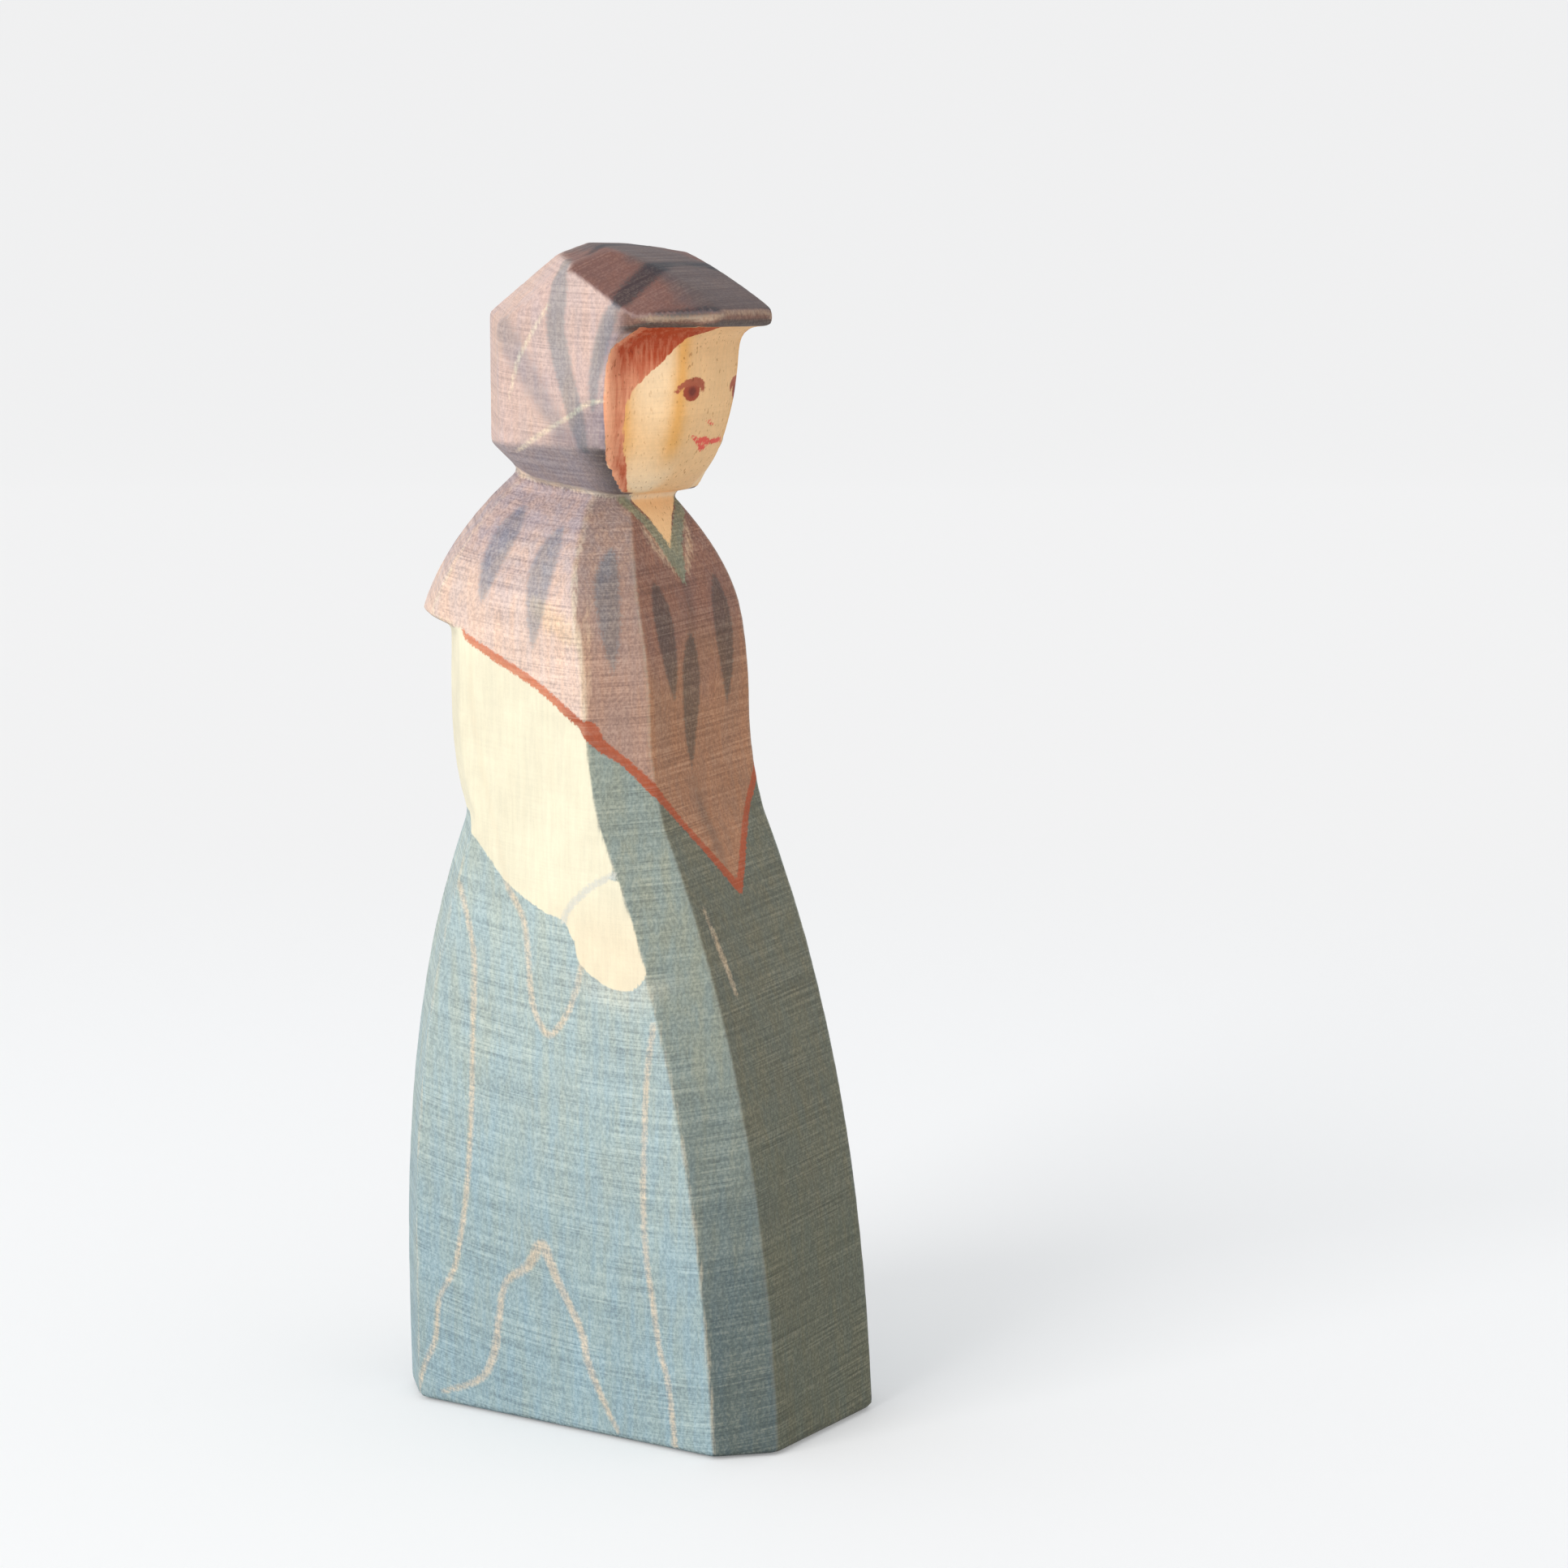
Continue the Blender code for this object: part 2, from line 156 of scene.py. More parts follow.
# Border of the shawl: the sum |x| + y, and the height at which the border crosses it
BORDER = ((-16.0, 52.4), (-12.5, 55.2), (-6.3, 60.5), (-2.5, 63.6), (0.6, 66.2), (4.6, 68.9),
          (8.0, 70.7), (9.5, 71.9), (10.5, 72.6), (12.2, 73.7), (16.2, 76.4), (20.5, 78.5),
          (24.5, 80.5), (25.4, 81.4))
BORDER_LINE = ((-13.8, 11.6, 81.5), (-13.8, 10.7, 80.4), (-13.8, 6.7, 78.4), (-13.8, 2.4, 76.3),
               (-13.8, -1.6, 73.6), (-13.8, -3.3, 72.5), (-13.4, -3.9, 72.0), (-12.7, -4.7, 70.6),
               (-11.1, -6.5, 68.8), (-9.3, -8.7, 66.1), (-7.0, -9.5, 63.6), (-4.3, -10.6, 60.5),
               (0.0, -12.9, 55.2))
BORDER_WIDTHS = (0.2, 0.7, 0.85, 0.8, 0.85, 0.95, 1.8, 1.3, 0.9, 1.1, 0.9, 0.9, 1.1)

# Sleeve, cuff and hand on the flat sides
SLEEVE = ((11.6, 81.6), (-3.8, 73.0), (-9.0, 68.0), (-9.0, 60.0), (-6.1, 57.5), (-0.9, 52.7),
          (1.4, 53.3), (4.0, 54.5), (6.6, 56.2), (8.4, 58.2), (10.2, 60.2), (13.0, 62.4),
          (22.0, 62.6), (22.0, 81.6))
HAND = ((-9.2, 57.0), (-6.1, 57.6), (-0.9, 52.7), (-1.3, 51.8), (-2.0, 50.9), (-2.3, 49.6),
        (-2.5, 48.9), (-3.0, 48.3), (-3.8, 47.7), (-5.5, 46.7), (-7.8, 46.2), (-9.2, 46.5),
        (-10.1, 47.2), (-10.8, 48.2), (-12.0, 50.0))
SLEEVE_BACK = ((10.2, 60.2), (13.0, 62.4), (14.0, 62.5))
SLEEVE_WRAP = 1.8
SIDE_MARGIN = 0.22
CUFF = ((-0.8, 52.7), (-1.1, 53.5), (-1.9, 54.6), (-3.3, 55.8), (-4.7, 56.8), (-6.1, 57.5),
        (-7.2, 57.9))
CUFF_WIDTHS = (0.7, 0.75, 0.8, 0.8, 0.75, 0.7, 0.6)
HALO_REACH = (-3.4, -0.4)
HALO_LEVELS = (48.5, 46.5)

# Hair: limits of the sum |x| + y by height, inside towards the face and outside to the scarf
HAIR_INNER = ((94.0, 2.2), (95.8, 2.7), (97.1, 2.8), (98.5, 3.3), (100.0, 3.6), (101.7, 3.7),
              (103.7, 3.5), (105.4, 2.4), (106.7, 0.7), (107.8, -1.1), (109.2, -2.9),
              (110.5, -4.9), (111.2, -8.6), (111.8, -10.6))
HAIR_OUTER = ((94.0, 3.6), (96.0, 4.5), (98.0, 6.0), (100.0, 6.5), (104.3, 6.7), (107.7, 6.5),
              (109.5, 5.8), (111.4, 2.2))

# Hair that ends sooner on the figure's left: how much, where across, and where in height
SHORTER_HAIR = ((4.0, (0.0, 1.0), (99.5, 97.5)), (2.5, (2.0, 4.0), (110.4, 111.2)))

# Painted drops: places from the top end to the tail, and the greatest width
SIDE_AND_BACK_DROPS = (
    (((-8.6, 7.3, 93.6), (-9.3, 7.6, 92.9), (-12.0, 8.6, 88.8), (-13.2, 9.0, 85.9),
      (-13.8, 9.2, 84.0)), 2.9),
    (((-9.5, 2.0, 91.7), (-10.4, 2.2, 90.9), (-12.2, 2.5, 88.0), (-13.7, 2.5, 83.8),
      (-13.8, 2.7, 79.9)), 2.9),
    (((-8.4, -3.1, 89.8), (-9.1, -3.5, 88.8), (-10.6, -4.1, 86.1), (-11.2, -4.9, 82.0),
      (-11.6, -5.5, 77.6)), 2.6),
    (((0.0, 14.4, 93.2), (0.0, 17.0, 89.9), (0.0, 19.6, 84.6)), 2.9),
    (((-6.4, 15.6, 91.8), (-7.0, 17.6, 88.6), (-7.4, 19.8, 84.2)), 2.7),
)
FRONT_DROPS = (
    (((-5.2, -6.0, 86.4), (-5.1, -7.8, 80.9), (-4.6, -8.1, 74.3)), 3.2),
    (((-0.9, -7.7, 81.3), (-1.4, -8.1, 76.8), (-2.3, -8.6, 67.4)), 3.1),
    (((5.6, -6.0, 86.5), (5.3, -7.3, 82.8), (4.9, -8.1, 73.3)), 3.2),
)
DROP_BELLY = 0.36    # share of the length
DROP_FULLNESS = 0.8
DROP_TAIL = 0.05

# Stripes on the scarf, painted shade along the crown's lower edge, and streaks on the front, with
# their widths
SCARF_STRIPES = (
    (((-8.6, 2.2, 118.2), (-9.6, 1.6, 117.4), (-11.0, 1.2, 115.6), (-11.0, 1.7, 111.8),
      (-11.0, 0.9, 108.0), (-11.0, 0.1, 105.4), (-11.0, -1.1, 101.5), (-10.6, -1.6, 99.4)),
     (1.4, 1.9, 2.1, 2.2, 2.1, 2.0, 1.8, 0.8)),
    (((-11.0, -5.4, 113.4), (-11.0, -4.7, 112.1), (-11.0, -3.7, 109.4), (-11.0, -3.0, 106.6),
      (-11.0, -2.8, 103.6)), (1.4, 1.7, 1.6, 1.3, 0.5)),
)
TOP_STRIPES_AND_SHADE = (
    (((-10.3, -5.9, 114.4), (-8.0, -6.2, 116.0), (-5.4, -6.5, 117.4), (-4.4, -6.5, 117.6)),
     (2.0, 2.2, 2.2, 2.0)),
    (((-5.0, -6.2, 117.6), (0.0, -5.9, 118.2)), (1.5, 1.2)),
    (((-7.5, 0.2, 119.2), (0.0, 1.2, 120.0)), (1.2, 1.0)),
    # Painted shade along the crown's lower edge, above the brim line
    (((-9.4, -9.2, 113.0), (-7.8, -10.8, 113.05), (-6.2, -12.5, 113.3), (-4.6, -13.7, 113.4)),
     (0.4, 0.8, 1.0, 0.5)),
)
FAINT_STRIPES = (
    (((-11.0, 8.6, 112.6), (-11.0, 8.0, 111.0), (-11.0, 4.5, 106.0), (-11.0, 1.2, 101.4)),
     (1.6, 2.4, 2.2, 1.6)),
)
FRONT_STREAKS = (
    (((-2.2, -8.8, 66.5), (-1.6, -10.0, 61.5), (-0.9, -11.6, 57.0)), (0.6, 1.5, 0.5)),
    (((0.0, -6.4, 85.8), (-0.2, -7.1, 82.8), (-0.9, -7.8, 79.0)), (1.2, 1.2, 0.4)),
    (((3.6, -9.0, 70.5), (2.4, -10.6, 64.0)), (0.5, 1.0)),
)

# Eyes, nose and mouth. The eyes are places on one side of the face's middle.
FACE_MIDDLE = 0.55
EYE = (-4.1, 105.22)
EYE_RADII = (1.06, 0.97)
PUPIL_RADII = (0.5, 0.5)
LID = ((-5.75, 105.15), (-5.5, 105.6), (-5.0, 105.98), (-4.35, 106.15), (-3.6, 106.2),
       (-2.9, 105.95), (-2.65, 105.5), (-2.7, 105.15))
LID_WIDTHS = (0.35, 0.5, 0.65, 0.75, 0.85, 0.8, 0.6, 0.3)
NOSE = (((-0.75, 102.05), (-0.1, 102.12), (0.55, 101.9)), (0.2, 0.38, 0.3))
MOUTH = (((-2.3, 100.75), (-1.4, 100.2), (-0.4, 100.35), (0.7, 100.1), (1.9, 100.15),
          (2.9, 100.15), (3.5, 100.0)), (0.3, 0.5, 0.6, 0.55, 0.6, 0.5, 0.3))
LOWER_LIP = (((-0.9, 99.75), (-0.3, 99.5), (0.5, 99.7)), (0.4, 0.65, 0.35))

# Neck opening of the shawl
COLLAR = (
    (((-4.7, -1.5, 94.5), (-4.2, -2.8, 93.5), (-3.3, -3.4, 92.5), (-2.3, -4.1, 91.2),
      (-1.4, -4.9, 89.5), (-0.6, -5.5, 88.0), (0.0, -6.3, 85.9)),
     (0.8, 1.2, 1.3, 1.4, 1.5, 1.6, 0.5)),
    (((4.2, -2.6, 93.9), (3.7, -3.1, 92.9), (2.7, -3.7, 92.0), (1.8, -4.2, 90.9),
      (0.8, -4.8, 89.7), (0.2, -5.5, 88.1), (0.0, -6.0, 86.5)),
     (1.2, 1.5, 1.55, 1.6, 1.8, 1.7, 1.0)),
)
NECK_OPENING = ((-5.2, 96.5), (-4.6, 95.3), (-3.8, 94.3), (-2.2, 92.4), (-1.4, 90.8), (-0.6, 89.1),
                (0.1, 90.0), (1.0, 91.3), (1.9, 92.4), (3.6, 93.9), (4.4, 96.5))

# Growth rings that cross the flat sides, as depth and height
RINGS = (
    ((12.2, 55.3), (10.9, 50.3), (10.5, 47.0), (10.8, 40.2), (11.1, 31.7), (11.7, 24.8),
     (12.3, 20.5), (13.5, 15.1), (15.6, 11.3), (16.2, 6.9), (18.0, 3.1), (18.9, 0.0)),
    ((10.4, 79.7), (10.4, 73.4), (9.0, 66.6), (7.3, 60.0), (6.1, 55.6), (4.1, 52.0), (3.3, 44.6),
     (2.3, 42.0), (1.0, 40.9), (-0.8, 42.8), (-2.1, 45.4), (-3.2, 49.3)),
    ((-11.6, 43.2), (-10.8, 37.8), (-10.4, 30.3), (-10.3, 23.7), (-10.7, 18.7), (-11.3, 15.5),
     (-12.1, 10.6), (-13.1, 7.4), (-13.8, 2.5), (-14.0, 0.0)),
    ((15.3, 1.4), (10.5, 3.5), (8.6, 6.4), (7.8, 10.8), (6.9, 14.4), (4.1, 16.5), (2.3, 18.9),
     (0.5, 15.8), (-2.5, 10.8), (-3.4, 7.5), (-5.4, 3.6), (-7.1, 0.9)),
)
RING_WIDTHS = (0.6, 0.65, 0.6,
               (0.4, 0.7, 0.9, 0.8, 0.75, 1.0, 1.3, 0.9, 0.85, 0.8, 0.6, 0.4))
HEAD_RINGS = (
    (((-10.5, 7.4, 98.8), (-11.0, 3.0, 101.3), (-11.0, 0.2, 102.7), (-11.0, -2.0, 104.0),
      (-11.0, -4.3, 104.5)), (0.4, 0.5, 0.5, 0.5, 0.4)),
    (((-11.0, 2.5, 113.8), (-11.0, 6.1, 108.6), (-11.0, 7.4, 104.5)), (0.4, 0.5, 0.3)),
)
FRONT_RING = (((-7.1, -13.3, 54.1), (-6.4, -14.9, 49.8), (-5.7, -16.2, 45.6)), (0.4, 0.8, 0.5))

# Patches where little stain took
BARE_PATCHES = (
    (((-13.8, 2.6, 84.6), (-13.8, 0.6, 82.9), (-13.8, -1.6, 81.4), (-13.8, -3.0, 80.6)),
     (0.9, 2.2, 1.9, 0.8)),
    (((-3.7, -4.0, 91.4), (-3.1, -4.7, 89.9), (-2.0, -5.3, 88.4), (-1.2, -5.8, 87.2)),
     (0.5, 0.8, 0.7, 0.4)),
    (((-12.6, -3.6, 85.0), (-13.8, -3.6, 80.0), (-13.8, -3.7, 74.0)), (0.5, 1.0, 0.5)),
)
# A pale line along the brim's upper edge, painted shade under the brim, and painted shade low on
# the scarf's sides by the jaw
BRIM_LINE = (((-10.6, -8.1, 112.6), (-9.1, -9.5, 112.35), (-7.5, -11.2, 112.4),
              (-5.8, -12.8, 112.5), (-4.4, -13.8, 112.7), (-3.3, -13.8, 113.05),
              (-0.2, -13.8, 113.0), (4.3, -13.8, 112.8), (6.5, -13.0, 112.7)),
             (0.3, 0.8, 0.75, 0.6, 0.45, 0.4, 0.4, 0.35, 0.3))
BRIM_SHADE = (((-11.0, -8.0, 112.2), (-11.0, -5.6, 111.6), (-11.0, -4.4, 110.2),
               (-11.0, -3.8, 107.6)),
              (1.0, 1.8, 1.4, 0.8))
SCARF_SHADE = ((-5.0, 105.0), (-2.5, 104.2), (0.5, 101.8), (3.8, 99.6), (8.0, 98.6), (13.0, 98.4),
               (13.0, 95.0), (-5.0, 95.0))

# Painted shade of the hair by height, darkest under the brim, and how much lighter it is towards
# the scarf
HAIR_SHADE = ((94.0, 0.85), (97.5, 0.68), (100.0, 0.42), (103.5, 0.34), (106.5, 0.50),
              (108.5, 0.80), (110.5, 1.0))
HAIR_EDGE = (1.6, 0.5)
HAIR_EDGE_LIGHT = 0.5

# Camera at the photo's angle, its place in metres
CAMERA_PLACE = (-0.30454, -0.21317, 0.11700)
CAMERA_FORWARD = (0.833917, 0.534093, -0.139025)
CAMERA_LENS = 83.85
CAMERA_SENSOR = 36.0
CAMERA_NEAR = 0.01

# Light and floor, in metres. The floor and the room have one look where they are seen and
# another where they light the figure.
KEY_PLACE = (-1.76, 0.30, 1.04)
KEY_AIM = (0.0, 0.0, 0.06)
KEY_SIZE = 1.1
KEY_POWER = 20.2
KEY_COLOUR = (1.0, 0.985, 0.965)
SKY_STRENGTH = 0.79
SKY_COLOUR = (0.97, 0.985, 1.0)
FLOOR_COLOUR = (0.74, 0.75, 0.76)
FLOOR_SEEN = (0.73, 0.735, 0.74)
FLOOR_LIFT = (0.225, 0.225, 0.225)
FLOOR_ROUGHNESS = 0.9
FLOOR_SHINE = 0.1
FAR_SEEN = (0.05, 0.05, 0.05)
FAR_LIFT = (0.825, 0.826, 0.83)
NEAR_FIGURE = (0.12, 0.45)
BACKDROP = (0.865, 0.868, 0.872)
FLOOR_HALF_WIDTH = 4.0
FLOOR_FRONT = -4.0
FLOOR_BACK = 1.6
WALL_HEIGHT = 2.2
SWEEP_RADIUS = 0.6
SWEEP_STEPS = 16


def blend_step(values, low, high):
    """Smooth step from 0 at low to 1 at high, whichever of them is greater."""
    share = np.clip((values - low) / (high - low), 0, 1)
    return share * share * (3 - 2 * share)


def add_object(name, data):
    """A new object in the scene."""
    made = bpy.data.objects.new(name, data)
    bpy.context.scene.collection.objects.link(made)
    return made


# The block's surface

def sharp_edges(bm):
    """Edges where the true shape turns sharply, but for the soft turns of the face."""
    return [edge for edge in bm.edges if len(edge.link_faces) != 2
            or edge.calc_face_angle() > math.radians(SHARP_TURN) and not in_face(edge)]


def in_face(edge):
    """True inside the carved face, where the knife left soft turns and no edges."""
    spots = [face.calc_center_median() / MM for face in edge.link_faces]
    return all(FACE_LEVELS[0] < spot.z < FACE_LEVELS[1] and BRIM_TIP < spot.y < FACE_BACK
               and abs(spot.x) < CHEEK_HALF_WIDTH for spot in spots)


def edge_spots(edges):
    """Spots along sharp edges of the true shape, in millimetres."""
    spots = []
    for edge in edges:
        start, end = (vert.co / MM for vert in edge.verts)
        count = max(1, math.ceil((end - start).length / EDGE_SAMPLES))
        spots += [start.lerp(end, step / count) for step in range(count + 1)]
    return spots


def distances_to(points, spots):
    """How far each point is from the nearest of the spots."""
    tree = KDTree(len(spots))
    for index, spot in enumerate(spots):
        tree.insert(spot, index)
    tree.balance()
    return np.array([min(tree.find(Vector(point))[2], EDGE_REACH) for point in points])


def side_turn(edge):
    """How far forward an outer edge's flatter face looks: 0 on the board's flat sides."""
    if len(edge.link_faces) != 2 or not edge.is_convex:
        return NO_WEAR
    return min(abs(face.normal.y) / max(abs(face.normal.x) + abs(face.normal.y), 1e-6)
               for face in edge.link_faces)


def fine_block(true_shape):
    """A block like the true shape, cut up into small even squares, its edges a little blunt."""
    mesh = bpy.data.meshes.new("stained_block")
    true_shape.to_mesh(mesh)
    block = add_object("stained_block", mesh)
    grid = block.modifiers.new("grid", "REMESH")
    grid.mode = "VOXEL"
    grid.voxel_size = GRID * MM
    bpy.context.view_layer.update()
    evaluated = block.evaluated_get(bpy.context.evaluated_depsgraph_get())
    block.data = bpy.data.meshes.new_from_object(evaluated)
    block.modifiers.clear()
    bpy.data.meshes.remove(mesh)
    block.data.name = "stained_block"
    return block


def summed(indices, values, count):
    """The sum of the rows that each index has."""
    return np.stack([np.bincount(indices, column, count) for column in values.T], 1)


def averages(points, edges):
    """Mean of each point's neighbours."""
    count = len(points)
    near, far = edges.T
    total = summed(near, points[far], count) + summed(far, points[near], count)
    return total / np.maximum(np.bincount(edges.ravel(), minlength=count), 1)[:, None]


def smoothed(points, edges, rounds, share):
    """Points moved towards their neighbours' mean, each by its own share."""
    for _ in range(rounds):
        points = points + (averages(points, edges) - points) * share[:, None] * SMOOTH_SHARE
    return points


def on_shape(points, tree):
    """The nearest place on the true shape for each point."""
    return np.array([tree.find_nearest(Vector(point) * MM)[0] for point in points]) / MM


def face_share(points):
    """1 on the carved face and 0 elsewhere."""
    x, y, z = points.T
    return (blend_step(z, *FACE_CHIN) * (z < BRIM_LOW + FACE_MARGIN)
            * blend_step(y, *FACE_DEPTHS) * (y > FACE_TIP)
            * (abs(x) < CHEEK_HALF_WIDTH + FACE_MARGIN))


def sand(points, edges, tree, near_edge):
    """Flats lie on the true shape, edges are rounded, and the face has soft turns."""
    everywhere = np.ones(len(points))
    on_face = face_share(points)
    reach = ROUNDING_FAR + HEAD_ROUNDING * blend_step(points[:, 2], *HEAD_LEVELS)
    hold = EDGE_HOLD + (1 - EDGE_HOLD) * blend_step(near_edge, ROUNDING_NEAR, reach)
    hold *= 1 - on_face
    points = smoothed(points, edges, SMOOTH_ROUNDS, everywhere)
    points = points + (on_shape(points, tree) - points) * hold[:, None]
    points = smoothed(points, edges, FACE_SMOOTH_ROUNDS, on_face)
    points = smoothed(points, edges, FAIR_ROUNDS, blend_step(near_edge, *FAIR_FROM) * FAIR_SHARE)
    return smoothed(points, edges, 1, everywhere * LAST_SHARE)


def unevenness(points, size):
    """Soft bumps of one size, from 0 to 1."""
    return np.array([0.5 + 0.5 * noise.noise(Vector(point) / size) for point in points])


def knife_depths(points):
    """How far the surface lies under the true shape: slow swells and small nicks."""
    return SWELL_DEPTH * unevenness(points, SWELL_SIZE) + NICK_DEPTH * unevenness(points, NICK_SIZE)


def point_normals(points, triangles):
    """Outward direction at each point."""
    a, b, c = (points[corner] for corner in triangles.T)
    flat = np.cross(b - a, c - a)
    normals = sum(summed(corner, flat, len(points)) for corner in triangles.T)
    return normals / np.maximum(np.linalg.norm(normals, axis=1), 1e-12)[:, None]


# Places of the painted marks. Depths are positive inside a mark and fall by one each millimetre.

def smooth_line(places, steps=5):
    """Points on a smooth curve through the places."""
    places = np.asarray(places, float)
    ends = np.vstack([2 * places[0] - places[1], places, 2 * places[-1] - places[-2]])
    curve = []
    for a, b, c, d in zip(ends, ends[1:], ends[2:], ends[3:]):
        for step in range(steps):
            t = step / steps
            curve.append(0.5 * (2 * b + (c - a) * t + (2 * a - 5 * b + 4 * c - d) * t * t
                                + (3 * b - a - 3 * c + d) * t ** 3))
    curve.append(places[-1])
    return np.array(curve)


def by_segment(points, start, end):
    """How far along a segment each point is, as a share, and how far away from it."""
    along = end - start
    share = np.clip((points - start) @ along / (along @ along), 0, 1)
    return share, np.linalg.norm(points - start - share[:, None] * along, axis=1)


def stroke(points, places, widths, steps=5):
    """Depth inside a brush stroke along the places."""
    widths = np.broadcast_to(np.asarray(widths, float), len(places))
    line = smooth_line([(*place, width) for place, width in zip(places, widths)], steps)
    depth = np.full(len(points), -FAR)
    for start, end in zip(line, line[1:]):
        share, away = by_segment(points, start[:-1], end[:-1])
        depth = np.maximum(depth, (start[-1] + (end[-1] - start[-1]) * share) / 2 - away)
    return depth


def strokes(points, marks):
    """Depth inside the nearest of several brush strokes."""
    return np.max([stroke(points, places, widths) for places, widths in marks], axis=0)


def drop(points, places, width):
    """Depth inside a painted drop that is widest a third of the way down."""
    line = smooth_line(places, 6)
    lengths = np.concatenate([[0], np.cumsum(np.linalg.norm(np.diff(line, axis=0), axis=1))])
    share = np.interp(lengths / lengths[-1], (0, DROP_BELLY, 1), (0, 0.5, 1))
    widths = width * np.sin(share * math.pi) ** DROP_FULLNESS
    return stroke(points, line, np.maximum(widths, DROP_TAIL), 1)


def drops(points, marks):
    """Depth inside the nearest of several painted drops."""
    return np.max([drop(points, places, width) for places, width in marks], axis=0)


def area(across, up, outline):
    """Depth inside a closed outline drawn flat."""
    spots = np.stack([across, up], 1)
    corners = np.asarray(outline, float)
    away = np.full(len(spots), FAR)
    inside = np.zeros(len(spots), bool)
    for start, end in zip(corners, np.roll(corners, -1, axis=0)):
        away = np.minimum(away, by_segment(spots, start, end)[1])
        crosses = (start[1] > spots[:, 1]) != (end[1] > spots[:, 1])
        rise = end[1] - start[1] if end[1] != start[1] else 1.0
        at = start[0] + (spots[:, 1] - start[1]) / rise * (end[0] - start[0])
        inside ^= crosses & (spots[:, 0] < at)
    return np.where(inside, away, -away)


def by_table(values, table):
    """Values read off a table of pairs, in a straight line from one row to the next."""
    keys, results = zip(*table)
    return np.interp(values, keys, results)


def ellipse(across, up, radii):
    """Depth inside an upright oval."""
    wide, tall = radii
    return (1 - np.sqrt((across / wide) ** 2 + (up / tall) ** 2)) * min(radii)


def clothes_marks(points, folded):
    """The shawl with its border and drops, the sleeve, the cuff and the hand."""
    x, y, z = points.T
    border_height = np.where(y > BACK_CORNER, HEM_BEHIND, by_table(abs(x) + y, BORDER))
    on_side = abs(x) - HALF_BOARD + SIDE_MARGIN
    hand = area(y, z, HAND)
    arm = np.minimum(np.maximum(area(y, z, SLEEVE), hand), on_side)
    behind = np.minimum(z - by_table(y, SLEEVE_BACK), y - BACK_CORNER + SLEEVE_WRAP)
    return {
        "shawl": (z - border_height) * BORDER_SLOPE,
        "border": stroke(folded, BORDER_LINE, BORDER_WIDTHS),
        "arm": np.maximum(arm, behind),
        "cuff": np.minimum(stroke(folded[:, 1:], CUFF, CUFF_WIDTHS), on_side),
        "halo": blend_step(hand, *HALO_REACH) * blend_step(z, *HALO_LEVELS),
        "side_drops": drops(folded, SIDE_AND_BACK_DROPS),
        "front_drops": drops(points, FRONT_DROPS),
        "neck": area(x, z, NECK_OPENING) + np.where(y < 0, 0.0, -FAR),
        "collar": strokes(points, COLLAR),
    }


def head_marks(points):
    """Scarf, hair, skin, eyes and mouth."""
    x, y, z = points.T
    in_front = ((z > PAINT_LEVELS[0]) & (z < PAINT_LEVELS[1])
                & (y > PAINT_DEPTHS[0]) & (y < PAINT_DEPTHS[1]))
    ahead = np.where(in_front, 0.0, -FAR)
    groove = z - NECK - by_table(y, GROOVE_RISE)
    round_front = abs(x) + y
    hair_out = by_table(z, HAIR_OUTER) - round_front
    hair = np.minimum(round_front - by_table(z, HAIR_INNER), hair_out) + ahead
    for length, across, level in SHORTER_HAIR:
        hair -= length * blend_step(x, *across) * blend_step(z, *level)
    hair_shade = by_table(z, HAIR_SHADE) - HAIR_EDGE_LIGHT * blend_step(hair_out, *HAIR_EDGE)
    aside = abs(x - FACE_MIDDLE)
    from_eye = aside + EYE[0], z - EYE[1]
    return {
        "hair": hair,
        "hair_shade": np.clip(hair_shade, 0, 1),
        "skin": np.where(in_front, hair_out, -FAR),
        "scarf": np.where(in_front, -hair_out, groove),
        "groove": groove * np.where(in_front, FAR, 1.0),
        "eyes": ellipse(*from_eye, EYE_RADII) + ahead,
        "pupils": ellipse(*from_eye, PUPIL_RADII) + ahead,
        "lids": stroke(np.stack([-aside, z], 1), LID, LID_WIDTHS) + ahead,
        "mouth": strokes(points[:, ::2], (NOSE, MOUTH, LOWER_LIP)) + ahead,
    }


def scarf_and_wood_marks(points, folded):
    """Stripes, growth rings, bare patches, the pale brim line, and painted shade on the scarf and
    along the crown's edge.
    """
    x, y, z = points.T
    on_side = abs(x) - HALF_BOARD + SIDE_MARGIN
    side_rings = strokes(folded[:, 1:], zip(RINGS, RING_WIDTHS))
    return {
        "stripes": strokes(folded, SCARF_STRIPES),
        "crown_stripes_and_shade": strokes(folded, TOP_STRIPES_AND_SHADE),
        "faint_stripes": np.maximum(strokes(folded, FAINT_STRIPES),
                                    strokes(points, FRONT_STREAKS)),
        "rings": np.maximum(np.minimum(side_rings, on_side), stroke(points, *FRONT_RING)),
        "head_rings": strokes(folded, HEAD_RINGS),
        "bare": strokes(folded, BARE_PATCHES),
        "brim_line": stroke(folded, *BRIM_LINE),
        "brim_shade": stroke(folded, *BRIM_SHADE),
        "scarf_shade": (blend_step(area(y, z, SCARF_SHADE), *SHADE_REACH)
                        * (abs(x) > SHADE_HALF_WIDTH)),
    }


def facet_marks(points, normals):
    """How far a facet is turned to the front, the crown, the brim, and the undersides of the jaw
    and the ledge, for painted shade.
    """
    y, z = points[:, 1], points[:, 2]
    across, forward, up = normals.T
    head = z > HEAD_LOW
    crown = head * blend_step(up, *CROWN_UP) * blend_step(forward, *CROWN_FORWARD)
    return {
        "turn": np.maximum(-forward, 0) / np.maximum(abs(across) + abs(forward), 1e-6),
        "crown": crown,
        "brim": (head * blend_step(z, *BRIM_FOOT) * blend_step(z, *BRIM_HEAD)
                 * blend_step(y, *BRIM_DEPTHS) * (1 - crown)),
        "under_jaw": (z > NECK) * (z < JAW_TOP) * blend_step(up, *JAW_UP),
        "ledge": blend_step(up, *LEDGE_UP) * (abs(z - HEM) < LEDGE_BAND) * (y > LEDGE_BACK),
    }


